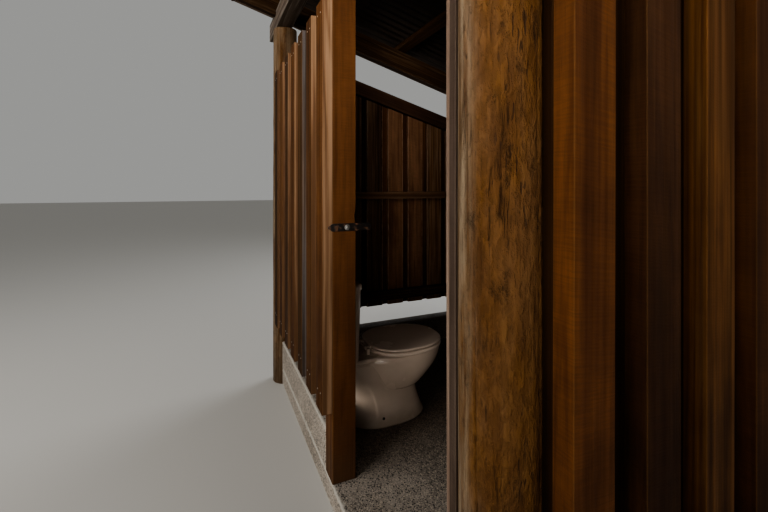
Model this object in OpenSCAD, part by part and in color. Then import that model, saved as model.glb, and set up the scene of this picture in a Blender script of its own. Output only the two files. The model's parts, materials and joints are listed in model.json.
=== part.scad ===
// A small timber outhouse: round corner poles, board-and-batten walls with open gaps
// above and below, one sloping roof and a toilet on a concrete floor.
// X runs down the roof, from the doorway side to the low side. Y runs along the
// doorway side, from the near end to the far end. The ground is at z = 0.

/* [Poles and post] */
// Distance between the pole centres, down the slope of the roof
bay_x = 1740; // [1600:10:2000]
// Distance between the pole centres, along the doorway side
bay_y = 2200; // [2100:10:2600]
// Diameter of the round poles
pole_d = 160; // [140:5:180]
// Side of the square door post
post_w = 100; // [90:5:120]
// Clear width between the near pole and the door post
doorway_w = 896; // [800:2:950]
// Gap left where one piece is fitted against another
seat = 0.3; // [0.2:0.1:0.5]

/* [Floor] */
// Height of the floor above the ground
floor_h = 100; // [75:5:150]
// Height of the kerbs above the floor
kerb_h = 180; // [120:5:220]
// Thickness of the kerbs
kerb_t = 100; // [80:5:120]
// How far the kerbs at the ends reach out past the pole centres
kerb_out = 50; // [40:5:60]

/* [Walls] */
// How far the side walls stand outside the pole centres
side_out = 30; // [20:1:40]
// How far the end walls stop short of the pole centres
end_short = 30; // [0:5:40]
// Width of the outer battens
batten_w = 95; // [85:1:105]
// Thickness of the outer battens
batten_t = 43; // [35:1:50]
// Width of the inner boards
board_w = 130; // [120:1:150]
// Thickness of the inner boards
board_t = 22; // [18:1:25]
// Wanted distance from one batten to the next
clad_pitch = 180; // [165:5:200]
// Open gap between the kerbs and the walls
foot_gap = 110; // [80:5:140]
// Top of the wall beside the doorway, above the floor
side_top = 1961; // [1850:1:2050]
// Open gap between the low wall and its beam
low_gap = 180; // [120:10:240]
// Open gap between the end walls and the rafters
end_gap = 195; // [150:5:240]

/* [Rails and shelf] */
// Thickness of the rails
rail_t = 45; // [35:5:50]
// Height of the rail along the foot of a wall
foot_rail_h = 70; // [60:5:90]
// Height of the foot rail above the bottom of its wall
foot_rail_up = 45; // [20:5:80]
// Height of the rail along the head of a wall
head_rail_h = 100; // [80:5:120]
// Height of the shelf's top above the floor
shelf_top = 1167; // [1000:1:1300]
// Thickness of the shelf
shelf_t = 50; // [40:5:60]
// Depth of the shelf
shelf_d = 180; // [150:10:220]
// Width of the cleats under the shelf
cleat_w = 45; // [35:5:60]
// Height of the cleats under the shelf
cleat_h = 90; // [60:10:120]

/* [Roof] */
// Fall of the roof in degrees
roof_fall = 15.8; // [10:0.2:20]
// Height of the rafters' undersides above the floor, in the middle
roof_h = 2094; // [2050:1:2200]
// How far the roof reaches past the poles at the eaves
eave_out = 270; // [200:10:350]
// How far the roof reaches past the poles at the ends
end_out = 220; // [150:10:300]
// Width of the beams
beam_w = 100; // [90:5:120]
// Height of the beams
beam_h = 120; // [100:5:140]
// How far the beams' outer faces stand inside the outsides of the poles
beam_in = 15; // [0:5:30]
// Depth of the rafters' notches over the beams
notch = 30; // [20:5:40]
// Thickness of the rafters
rafter_t = 45; // [40:5:60]
// Depth of the rafters
rafter_d = 140; // [120:5:180]
// Number of rafters
rafter_n = 3; // [2:1:5]
// Number of purlins
purlin_n = 5; // [4:1:7]
// Width of the purlins
purlin_w = 70; // [60:5:90]
// Thickness of the purlins
purlin_t = 45; // [40:5:50]
// Thickness of the boards round the roof's edge
trim_t = 20; // [18:1:25]
// Depth of those boards
trim_h = 90; // [80:5:180]
// How far the roof sheet reaches past those boards
sheet_out = 20; // [10:5:40]
// Width of one corrugation of the roof sheet
wave_w = 76; // [60:2:90]
// Height of the corrugations
wave_h = 17; // [12:1:20]
// Thickness of the roof sheet
sheet_t = 1.5; // [1:0.1:3]

/* [Door] */
// Height of the door
door_h = 1930; // [1800:10:1950]
// Gap under the door
door_up = 20; // [15:5:40]
// Thickness of the door's boards
door_board_t = 12; // [10:1:16]
// Thickness of the door's frame
door_frame_t = 24; // [20:1:30]
// Width of the door's stiles
stile_w = 90; // [70:5:110]
// Height of the door's rails
door_rail_h = 140; // [110:5:160]
// Gap between the open door and the near pole
door_gap = 12; // [12:1:20]
// Gap between the closed door and the door post
latch_gap = 15; // [12:1:20]
// Diameter of the hinge pins
pin_d = 10; // [8:1:12]
// Gap between a hinge pin and its eye
pin_gap = 0.3; // [0.2:0.1:0.5]
// How far the hinge pins stand outside the plane of the wall
pin_out = 16; // [12:1:20]
// Thickness of the hinge straps
strap_t = 4; // [3:0.5:5]
// Width of the hinge straps
strap_w = 35; // [30:1:45]
// Length of the hinge straps
strap_len = 300; // [200:10:400]
// Height of the latch bar's middle above the floor
latch_z = 1040; // [950:5:1150]
// Width of the latch bar
latch_w = 31; // [25:1:40]
// Thickness of the latch bar
latch_t = 6; // [4:1:8]
// How far the latch bar reaches in past the post
latch_in = 64; // [40:1:80]
// How far the latch bar reaches out past the post
latch_out = 20; // [10:1:30]

/* [Toilet] */
// Place of the toilet's middle line along the doorway side
wc_y = 280; // [240:5:400]
// Height of the toilet's rim above the floor
rim_h = 360; // [350:1:400]
// Depth of the cistern
cistern_d = 150; // [140:5:170]
// Width of the cistern
cistern_w = 340; // [320:5:380]
// Height of the cistern without its lid
cistern_h = 350; // [320:5:380]
// Radius of the cistern's upright corners
cistern_r = 28; // [15:1:40]
// Thickness of the cistern's lid
cistern_lid_t = 30; // [20:1:40]
// How far the cistern's lid reaches past its sides
cistern_lid_out = 6; // [3:1:10]
// Diameter of the flush button
button_d = 50; // [40:1:60]
// Thickness of the seat
wc_seat_t = 18; // [14:1:22]
// Thickness of the lid
wc_lid_t = 16; // [12:1:20]
// Gap between the seat and the closed lid
lid_gap = 5; // [5:1:8]
// Width of the seat and the lid
wc_lid_w = 368; // [360:2:380]
// How far the lid reaches in front of the cistern
lid_reach = 503; // [490:1:515]
// Width of the hole in the seat
hole_w = 210; // [190:2:220]
// Depth of the seat behind its hole
hole_behind = 65; // [60:1:80]
// Depth of the seat in front of its hole
hole_before = 78; // [70:1:90]
// Diameter of the lid's hinge pin
lid_pin_d = 10; // [8:1:12]

/* [Hidden] */
$fn = 64;
// Past the end of a cut, so that it goes right through
over = 10;

pole_r = pole_d / 2;
pole_x = bay_x / 2;
pole_y = bay_y / 2;
frame_x = pole_x + side_out;
slab_y = pole_y + kerb_out;
end_half = pole_x - end_short;
end_y = pole_y + sqrt(pole_r * pole_r - end_short * end_short) + seat + board_t;
post_y = -pole_y + pole_r + doorway_w;
kerb_z = floor_h + kerb_h;
clad_z = kerb_z + foot_gap;
kerb_end_y = slab_y - kerb_t;
rail_x = frame_x - board_t;
rail_y = end_y - board_t - seat;
rail_end = pole_x - pole_r - seat;
rail_end_y = pole_y - pole_r - seat;
// Where the outer face of the side walls' battens meets the round of a pole
pole_meet = pole_y - sqrt(pole_r * pole_r - pow(side_out + batten_t, 2));

// The roof's lines: the height of the rafters' undersides, and depths measured plumb
roof_x = pole_x + pole_r + eave_out;
roof_y = pole_y + pole_r + end_out;
trim_x = roof_x - sheet_out;
trim_y = roof_y - sheet_out;
rafter_v = rafter_d / cos(roof_fall);
purlin_v = purlin_t / cos(roof_fall);
function under(x) = floor_h + roof_h - tan(roof_fall) * x;
beam_x = pole_x + pole_r - beam_in;
beam_high_top = under(-beam_x) + notch;
beam_low_top = under(beam_x - beam_w) + notch;
side_z = floor_h + side_top;
low_z = beam_low_top - beam_h - low_gap;

// The door stands open at rest, square to the doorway side
leaf_t = door_frame_t + door_board_t;
leaf_y = -pole_y + pole_r + door_gap;
eye_r = pin_d / 2 + pin_gap + strap_t;
eye_gap = 1.5;
pin_x = -frame_x - pin_out;
pin_y = leaf_y - strap_t + eye_r;
leaf_x = pin_x + eye_r + eye_gap;
door_w = post_y - latch_gap - pin_y - eye_r - eye_gap;
door_z = floor_h + door_up;
strap_z = [door_z + (door_rail_h - strap_w) / 2, door_z + door_h - (door_rail_h + strap_w) / 2];
pin_drop = 20;
pin_rise = 5;
rod_d = 0.8 * pin_d;

// The toilet stands with its cistern against the rail of the doorway side
wc_back = -rail_x + rail_t + seat;
cistern_x = wc_back + cistern_d;
rim_z = floor_h + rim_h;
wc_seat_z = rim_z + seat;
lid_z = wc_seat_z + wc_seat_t + lid_gap;
lid_pin_x = cistern_x + 66;
lid_pin_z = wc_seat_z + wc_seat_t + lid_gap / 2;
lid_front = cistern_x + lid_reach;
lid_hw = wc_lid_w / 2;
// Rounding of the seat's edge, of its hole, and its distance from the hinge pin
wc_ease = 5;
hole_roll = 8;
lid_pin_gap = 16;
hinge_y = 78;
lug_y = 48;
lug_w = 22;

module pole_at(x, y, extra) {
    translate([x, y, -extra]) cylinder(h = under(x) + 2 * extra, r = pole_r + extra);
}

module all_poles(extra) {
    for (x = [-pole_x, pole_x], y = [-pole_y, pole_y]) pole_at(x, y, extra);
}

// A bar that follows the slope, between two heights measured from the rafters' undersides
module slope_bar(x0, x1, y0, y1, low, high) {
    translate([0, y1, 0])
        rotate([90, 0, 0])
            linear_extrude(height = y1 - y0)
                polygon([[x0, under(x0) + low], [x1, under(x1) + low],
                    [x1, under(x1) + high], [x0, under(x0) + high]]);
}

// The plane of the rafters' tops, with its origin in the middle of the plan
module on_rafters() {
    translate([0, 0, floor_h + roof_h + rafter_v]) rotate([0, roof_fall, 0]) children();
}

// Floor and kerbs
module floor_slab() {
    color("#9b958a")
        difference() {
            translate([-frame_x, -slab_y, 0]) cube([2 * frame_x, 2 * slab_y, floor_h]);
            all_poles(seat);
        }
}

module kerb_end() {
    color("#8d877d")
        difference() {
            translate([-pole_x, kerb_end_y, floor_h]) cube([2 * pole_x, kerb_t, kerb_h]);
            all_poles(seat);
        }
}

module kerb_side(x0, y0) {
    color("#8d877d")
        difference() {
            translate([x0, y0, floor_h]) cube([kerb_t, kerb_end_y - y0, kerb_h]);
            all_poles(seat);
        }
}

// Poles, post and beams
module pole(x, y, top) {
    color("#8a6a45") translate([x, y, 0]) cylinder(h = top, r = pole_r);
}

module door_post() {
    color("#5a3512")
        translate([-frame_x, post_y, floor_h])
            cube([post_w, post_w, beam_high_top - beam_h - floor_h]);
}

module beam(x0, top) {
    color("#5f4023")
        translate([x0, -trim_y + trim_t + seat, top - beam_h])
            cube([beam_w, 2 * (trim_y - trim_t - seat), beam_h]);
}

// Roof
module rafters() {
    step = 2 * pole_y / (rafter_n - 1);
    end_x = trim_x - trim_t - seat;
    color("#4a3320")
        difference() {
            for (i = [0 : rafter_n - 1])
                slope_bar(-end_x, end_x, i * step - pole_y - rafter_t / 2,
                    i * step - pole_y + rafter_t / 2, 0, rafter_v);
            translate([-beam_x - seat, -roof_y, 0])
                cube([beam_w + 2 * seat, 2 * roof_y, beam_high_top + seat]);
            translate([beam_x - beam_w - seat, -roof_y, 0])
                cube([beam_w + 2 * seat, 2 * roof_y, beam_low_top + seat]);
        }
}

module purlins() {
    half = (trim_x - trim_t - seat) / cos(roof_fall) - purlin_w;
    step = 2 * half / (purlin_n - 1);
    color("#4a3320")
        on_rafters()
            for (i = [0 : purlin_n - 1])
                translate([i * step - half - purlin_w / 2, -trim_y + trim_t + seat, seat])
                    cube([purlin_w, 2 * (trim_y - trim_t - seat), purlin_t]);
}

// The corrugations run down the slope and are trimmed plumb at the eaves
module roof_sheet() {
    waves = round(2 * roof_y / wave_w);
    steps = 6 * waves;
    function place(i) = -roof_y + 2 * roof_y * i / steps;
    function rise(i) = wave_h * (1 - cos(360 * i / 6)) / 2;
    run = (roof_x + purlin_t) / cos(roof_fall);
    color("#5b5f60")
        intersection() {
            on_rafters()
                translate([-run, 0, purlin_t + 2 * seat])
                    rotate([90, 0, 90])
                        linear_extrude(height = 2 * run)
                            polygon(concat([for (i = [0 : steps]) [place(i), rise(i)]],
                                [for (i = [steps : -1 : 0]) [place(i), rise(i) + sheet_t]]));
            translate([-roof_x, -roof_y - over, 0])
                cube([2 * roof_x, 2 * (roof_y + over), under(-roof_x) + rafter_d + purlin_t + 10 * over]);
        }
}

module fascia(x0, low_x) {
    top = under(low_x) + rafter_v + purlin_v - seat;
    color("#5f4023")
        translate([x0, -trim_y, top - trim_h]) cube([trim_t, 2 * trim_y, trim_h]);
}

module barge(y0) {
    end_x = trim_x - trim_t - seat;
    top = rafter_v + purlin_v - seat;
    color("#5f4023") slope_bar(-end_x, end_x, y0, y0 + trim_t, top - trim_h, top);
}

// Walls: boards inside and battens outside, lapped over the gaps between them.
// The plans run along x, with the outside towards +y.
function clad_gaps(first, last) = round((last - first - batten_w) / clad_pitch);
function clad_step(first, last) = (last - first - batten_w) / clad_gaps(first, last);

module batten_plan(first, last) {
    for (i = [0 : clad_gaps(first, last)])
        translate([first + i * clad_step(first, last), 0]) square([batten_w, batten_t]);
}

module board_plan(first, last, board_from, board_to) {
    gaps = clad_gaps(first, last);
    step = clad_step(first, last);
    lap = (batten_w + step - board_w) / 2;
    for (i = [0 : gaps - 1]) {
        from = i == 0 ? board_from : first + i * step + lap;
        to = i == gaps - 1 ? board_to : first + i * step + lap + board_w;
        translate([from, -board_t]) square([to - from, board_t]);
    }
}

// A side wall's plan, stood up and scribed to the round poles
module stand_side(top) {
    color("#6a3b18")
        difference() {
            translate([-frame_x, 0, clad_z])
                rotate([0, 0, 90]) linear_extrude(height = top - clad_z) children();
            all_poles(seat);
        }
}

// An end wall's plan, stood up and cut off along the slope of the roof
module stand_end() {
    color("#6a3b18")
        difference() {
            translate([0, end_y, clad_z])
                linear_extrude(height = under(-end_half) - clad_z) children();
            slope_bar(-end_half - over, end_half + over, end_y - board_t - over,
                end_y + batten_t + over, -end_gap, roof_h);
        }
}

module battens_side(first, top) {
    stand_side(top) batten_plan(first, pole_meet);
}

module boards_side(first, board_from, top) {
    stand_side(top) board_plan(first, pole_meet, board_from, pole_meet);
}

module battens_end() {
    stand_end() batten_plan(-end_half, end_half);
}

module boards_end() {
    stand_end() board_plan(-end_half, end_half, -end_half, end_half);
}

// Rails inside the walls
module side_rails(y0, top) {
    color("#5a3a1c")
        for (z = [clad_z + foot_rail_up, top - head_rail_h])
            translate([-rail_x, y0, z])
                cube([rail_t, rail_end_y - y0, z < top - head_rail_h ? foot_rail_h : head_rail_h]);
}

module rails_far() {
    color("#5a3a1c") {
        translate([-rail_end, rail_y - rail_t, clad_z + foot_rail_up])
            cube([2 * rail_end, rail_t, foot_rail_h]);
        slope_bar(-rail_end, rail_end, rail_y - rail_t, rail_y, -end_gap - head_rail_h, -end_gap);
    }
}

module shelf() {
    color("#5a3a1c")
        translate([-rail_end, rail_y - shelf_d, floor_h + shelf_top - shelf_t])
            cube([2 * rail_end, shelf_d, shelf_t]);
}

module shelf_cleats() {
    color("#5a3a1c")
        for (x = [-rail_end, rail_end - cleat_w])
            translate([x, rail_y - shelf_d + cleat_w, floor_h + shelf_top - shelf_t - cleat_h])
                cube([cleat_w, shelf_d - cleat_w, cleat_h]);
}

// An egg-shaped ring of points: z, back, front, half width and squareness
ring_n = 48;
function bent(v, p) = sign(v) * pow(abs(v), 2 / p);
function egg(r) =
    let (mid = r[1] + 0.45 * (r[2] - r[1]))
    [for (i = [0 : ring_n - 1]) let (a = 360 * i / ring_n)
        [mid + (cos(a) > 0 ? r[2] - mid : mid - r[1]) * bent(cos(a), r[4]),
            r[3] * bent(sin(a), r[4]), r[0]]];

// A closed skin over rings that are stacked from the lowest to the highest
module loft(rings) {
    count = len(rings);
    points = [for (r = rings) each egg(r)];
    sides = [for (k = [0 : count - 2], i = [0 : ring_n - 1])
        let (j = (i + 1) % ring_n, a = k * ring_n, b = a + ring_n)
        each [[a + i, b + i, a + j], [a + j, b + i, b + j]]];
    floor_face = [for (i = [0 : ring_n - 1]) i];
    top_face = [for (i = [ring_n - 1 : -1 : 0]) (count - 1) * ring_n + i];
    polyhedron(points = points, faces = concat(sides, [floor_face], [top_face]));
}

// The pan: a pedestal with the trap and the deck behind, and the bowl in front
deck = cistern_d + 10;
pedestal_rings = [[0, 130, 542, 118, 2.6], [12, 130, 542, 118, 2.6], [70, 128, 518, 108, 2.6],
    [130, 124, 500, 103, 2.6], [200, 116, 490, 104, 2.8], [270, 90, 470, 112, 3.2],
    [320, 50, 430, 150, 4.5], [335, 34, 420, 168, 5], [348, 30, 420, 172, 5], [360, 30, 420, 172, 5]];
bowl_rings = [[146, 260, 480, 60, 2], [152, 230, 505, 90, 2.1], [166, 200, 540, 114, 2.2],
    [190, 180, 574, 136, 2.2], [222, 165, 608, 152, 2.3], [262, 155, 638, 165, 2.3],
    [310, 150, 651, 173, 2.3], [340, 150, 655, 176, 2.3], [354, 150, 655, 176, 2.3],
    [360, 152, 652, 174, 2.3]];
cavity_rings = [[178, 330, 490, 40, 2], [184, 300, 520, 66, 2], [210, 275, 560, 96, 2.1],
    [250, 255, 592, 120, 2.2], [300, 240, 614, 134, 2.3], [332, 234, 622, 140, 2.3],
    [341, 240, 616, 134, 2.3], [365, 240, 616, 134, 2.3]];

module toilet_pan() {
    color("#d8cfc0")
        translate([wc_back, wc_y, floor_h])
            scale(rim_h / 360)
                difference() {
                    union() {
                        loft(pedestal_rings);
                        loft(bowl_rings);
                    }
                    loft(cavity_rings);
                }
}

module round_rect(x, y, r) {
    translate([r, -y / 2]) square([x - 2 * r, y]);
    translate([0, -y / 2 + r]) square([x, y - 2 * r]);
    for (px = [r, x - r], py = [-y / 2 + r, y / 2 - r]) translate([px, py]) circle(r = r);
}

module cistern() {
    color("#d8cfc0")
        translate([wc_back, wc_y, rim_z + seat])
            linear_extrude(height = cistern_h) round_rect(cistern_d, cistern_w, cistern_r);
}

cistern_top = rim_z + 2 * seat + cistern_h;

module cistern_lid() {
    color("#d8cfc0")
        translate([wc_back, wc_y, cistern_top])
            linear_extrude(height = cistern_lid_t)
                round_rect(cistern_d + cistern_lid_out, cistern_w + 2 * cistern_lid_out,
                    cistern_r + cistern_lid_out);
}

// Two half-round buttons side by side
module flush_button() {
    color("#b9b9b5")
        translate([wc_back + cistern_d / 2, wc_y, cistern_top + cistern_lid_t + seat])
            for (side = [-1, 1])
                intersection() {
                    cylinder(h = 6, d = button_d);
                    translate([-button_d / 2, side > 0 ? 0.5 : -button_d / 2 - 0.5, 0])
                        cube([button_d, button_d / 2, 6]);
                }
}

// The pin of the lid lies between two posts on the deck
module seat_hinge() {
    color("#d8cfc0") {
        for (side = [-1, 1])
            translate([lid_pin_x - 9, wc_y + side * hinge_y - 9, rim_z + seat])
                cube([18, 18, lid_pin_z - rim_z - seat + 9]);
        translate([lid_pin_x, wc_y + hinge_y, lid_pin_z])
            rotate([90, 0, 0]) cylinder(h = 2 * hinge_y, d = lid_pin_d);
    }
}

module toilet_seat() {
    x0 = lid_pin_x + lid_pin_gap;
    hole_x = x0 + hole_behind;
    hole_front = lid_front - hole_before;
    hole_hw = hole_w / 2;
    rings = [[0, x0 + wc_ease, lid_front - wc_ease, lid_hw - wc_ease, 2.4],
        [wc_ease - 1, x0, lid_front, lid_hw, 2.4], [wc_seat_t - wc_ease, x0, lid_front, lid_hw, 2.4],
        [wc_seat_t, x0 + wc_ease, lid_front - wc_ease, lid_hw - wc_ease, 2.4]];
    hole = [[-1, hole_x - 3, hole_front + 3, hole_hw + 3, 2.2], [4, hole_x, hole_front, hole_hw, 2.2],
        [wc_seat_t - hole_roll + 1, hole_x, hole_front, hole_hw, 2.2],
        [wc_seat_t + 1, hole_x - hole_roll, hole_front + hole_roll, hole_hw + hole_roll, 2.2]];
    color("#ddd5c8")
        translate([0, wc_y, wc_seat_z])
            difference() {
                loft(rings);
                loft(hole);
            }
}

module toilet_lid() {
    x0 = lid_pin_x + lid_pin_gap;
    rings = [[0, x0 + 3, lid_front - 3, lid_hw - 3, 2.4], [3, x0, lid_front, lid_hw, 2.4],
        [wc_lid_t - 6, x0, lid_front, lid_hw, 2.4],
        [wc_lid_t - 2, x0 + 4, lid_front - 5, lid_hw - 5, 2.4],
        [wc_lid_t, x0 + 14, lid_front - 16, lid_hw - 16, 2.4]];
    color("#ddd5c8")
        difference() {
            union() {
                translate([0, wc_y, lid_z]) loft(rings);
                for (side = [-1, 1])
                    translate([lid_pin_x, wc_y + side * lug_y - lug_w / 2, lid_z])
                        cube([40, lug_w, wc_lid_t - 3]);
                for (side = [-1, 1])
                    translate([lid_pin_x, wc_y + side * lug_y + lug_w / 2, lid_pin_z])
                        rotate([90, 0, 0]) cylinder(h = lug_w, r = lid_pin_d / 2 + pin_gap + 4);
            }
            translate([lid_pin_x, wc_y + hinge_y, lid_pin_z])
                rotate([90, 0, 0]) cylinder(h = 2 * hinge_y, r = lid_pin_d / 2 + pin_gap);
        }
}

// Door, standing open: frame towards the near pole, boards on the other side
module door_boards() {
    color("#6a3b18")
        translate([leaf_x, leaf_y + door_frame_t, door_z])
            cube([door_w, door_board_t, door_h]);
}

module door_frame() {
    color("#5a3a1c")
        difference() {
            translate([leaf_x, leaf_y, door_z]) cube([door_w, door_frame_t, door_h]);
            for (z = [door_z + door_rail_h, door_z + (door_h + door_rail_h) / 2])
                translate([leaf_x + stile_w, leaf_y - over, z])
                    cube([door_w - 2 * stile_w, door_frame_t + 2 * over,
                        (door_h - 3 * door_rail_h) / 2]);
        }
}

module door_straps() {
    color("#3a3633")
        for (z = strap_z)
            difference() {
                union() {
                    translate([pin_x, leaf_y - strap_t, z]) cube([strap_len, strap_t, strap_w]);
                    translate([pin_x, pin_y, z]) cylinder(h = strap_w, r = eye_r);
                }
                translate([pin_x, pin_y, z - over])
                    cylinder(h = strap_w + 2 * over, r = pin_d / 2 + pin_gap);
            }
}

module hinge_pins() {
    color("#3a3633")
        difference() {
            for (z = strap_z) {
                translate([pin_x, pin_y, z - pin_drop])
                    cylinder(h = strap_w + pin_drop + pin_rise, d = pin_d);
                translate([pin_x, pin_y, z - pin_drop + pin_d / 2])
                    rotate([90, 0, 0]) cylinder(h = pole_r, d = rod_d);
            }
            pole_at(-pole_x, -pole_y, seat);
        }
}

module latch_bar() {
    x0 = -frame_x - latch_out;
    x1 = -frame_x + post_w + latch_in;
    point = latch_w * 0.6;
    z = floor_h + latch_z;
    color("#3a3633")
        translate([0, post_y - seat, 0])
            rotate([90, 0, 0])
                linear_extrude(height = latch_t)
                    polygon([[x0, z], [x0 + point, z - latch_w / 2], [x1, z - latch_w / 2],
                        [x1, z + latch_w / 2], [x0 + point, z + latch_w / 2]]);
}

floor_slab();
kerb_end();  // kerb_far
mirror([0, 1, 0]) kerb_end();  // kerb_near
kerb_side(-frame_x, post_y + post_w + seat);  // kerb_door_side
kerb_side(frame_x - kerb_t, -kerb_end_y);  // kerb_low_side
pole(-pole_x, -pole_y, beam_high_top - beam_h);  // pole_near_door_side
pole(-pole_x, pole_y, beam_high_top - beam_h);  // pole_far_door_side
pole(pole_x, -pole_y, beam_low_top - beam_h);  // pole_near_low_side
pole(pole_x, pole_y, beam_low_top - beam_h);  // pole_far_low_side
door_post();
beam(-beam_x, beam_high_top);  // beam_high
beam(beam_x - beam_w, beam_low_top);  // beam_low
rafters();
purlins();
roof_sheet();
fascia(-trim_x, -trim_x + trim_t);  // fascia_high
fascia(trim_x - trim_t, trim_x);  // fascia_low
barge(-trim_y);  // barge_near
barge(trim_y - trim_t);  // barge_far
battens_side(post_y, side_z);  // battens_door_side
battens_end();  // battens_far
mirror([0, 1, 0]) battens_end();  // battens_near
mirror([1, 0, 0]) battens_side(-pole_meet, low_z);  // battens_low_side
boards_side(post_y, post_y + post_w + seat, side_z);  // boards_door_side
boards_end();  // boards_far
mirror([0, 1, 0]) boards_end();  // boards_near
mirror([1, 0, 0]) boards_side(-pole_meet, -pole_meet, low_z);  // boards_low_side
side_rails(post_y + post_w + seat, side_z);  // rails_door_side
rails_far();
mirror([0, 1, 0]) rails_far();  // rails_near
mirror([1, 0, 0]) side_rails(-rail_end_y, low_z);  // rails_low_side
shelf();
shelf_cleats();
toilet_pan();
cistern();
cistern_lid();
flush_button();
seat_hinge();
toilet_seat();
toilet_lid();
door_boards();
door_frame();
door_straps();
hinge_pins();
latch_bar();
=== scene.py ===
"""A small timber outhouse: the finish of its pieces, on the frame of solids.

Lengths are metres.  +X runs down the roof, away from the doorway side, +Y along the doorway
side from the door's hinges towards the toilet, and the ground is z = 0.
"""
import json
import math

import bpy
import numpy as np
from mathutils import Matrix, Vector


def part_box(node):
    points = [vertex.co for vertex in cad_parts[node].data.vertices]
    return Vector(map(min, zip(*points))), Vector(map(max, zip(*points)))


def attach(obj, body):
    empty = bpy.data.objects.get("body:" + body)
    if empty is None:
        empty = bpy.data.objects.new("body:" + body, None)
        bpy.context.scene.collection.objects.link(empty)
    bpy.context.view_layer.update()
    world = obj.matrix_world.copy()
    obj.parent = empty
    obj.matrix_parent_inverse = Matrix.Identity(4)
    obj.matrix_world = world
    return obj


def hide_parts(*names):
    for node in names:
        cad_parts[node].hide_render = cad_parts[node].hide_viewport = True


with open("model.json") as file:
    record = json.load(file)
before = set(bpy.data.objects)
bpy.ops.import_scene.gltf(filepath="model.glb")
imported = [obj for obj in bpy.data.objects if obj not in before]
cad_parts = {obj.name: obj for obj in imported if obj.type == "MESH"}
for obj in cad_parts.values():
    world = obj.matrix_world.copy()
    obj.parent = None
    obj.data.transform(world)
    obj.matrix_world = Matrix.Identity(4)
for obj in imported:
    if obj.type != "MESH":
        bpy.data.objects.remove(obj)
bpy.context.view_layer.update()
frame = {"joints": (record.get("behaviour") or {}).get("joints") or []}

# ---- sizes
ROOF_FALL = math.radians(15.8)
COS, SIN, DROP = math.cos(ROOF_FALL), math.sin(ROOF_FALL), math.tan(ROOF_FALL)
RAFTER_D, RAFTER_T, RAFTER_COUNT = 0.140, 0.045, 3
PURLIN_W, PURLIN_T, PURLIN_COUNT = 0.070, 0.045, 5
BATTEN_W, BOARD_W, CLAD_PITCH = 0.095, 0.130, 0.180
END_GAP = 0.195  # open gap between the end walls and the rafters
FOOT_RAIL_H, HEAD_RAIL_H, CLEAT_W = 0.070, 0.100, 0.045
TRIM_H = 0.090  # boards round the roof's edge
POLE_R, POLE_X, POLE_Y = 0.080, 0.870, 1.100
WAVE_W, WAVE_H, SHEET_T, SHEET_LIFT = 0.0757, 0.017, 0.0012, 0.0013
STILE_W, DOOR_RAIL_H, DOOR_BOARDS, DOOR_EASE = 0.090, 0.140, 7, 0.0006
STRAP_W, STRAP_T, PIN_R = 0.035, 0.004, 0.005
NAIL_R, NAIL_H, NAIL_OFF = 0.0032, 0.0012, 0.022
SEAT_GAP = 0.0003  # left between pieces that are fitted to each other
SHEET_COVER, SHEET_LAP = 10, 1.4  # waves that a roof sheet covers, and laps over the next
# Each wall, the axis it runs along, and the draw that puts its boards' shades in the real order
WALLS = (("door_side", 1, 2506), ("low_side", 1, 56), ("near", 0, 11088), ("far", 0, 21))


def corners(node):
    """Lowest and highest corner of a node of the frame."""
    low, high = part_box(node)
    return np.array(low), np.array(high)


RAFTERS_LOW, RAFTERS_HIGH = corners("rafters")
ROOF_LOW, ROOF_HIGH = corners("roof_sheet")
UNDER_MID = RAFTERS_LOW[2] + DROP * RAFTERS_HIGH[0]
RAFTER_V, PURLIN_V = RAFTER_D / COS, PURLIN_T / COS
PURLIN_END = RAFTERS_HIGH[0] / COS - PURLIN_W
PURLIN_PLACES = np.linspace(-PURLIN_END, PURLIN_END, PURLIN_COUNT)
WAVES = round((ROOF_HIGH[1] - ROOF_LOW[1]) / WAVE_W)
WAVE = (ROOF_HIGH[1] - ROOF_LOW[1]) / WAVES


def under(x):
    """Height of the rafters' undersides: z = z0 - x tan(fall)."""
    return UNDER_MID - DROP * x


def on_rafters(reach, y, up):
    """The point a reach down the slope and a height square to it, from the rafters' top faces."""
    return reach * COS + up * SIN, y, UNDER_MID + RAFTER_V - reach * SIN + up * COS


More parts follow.
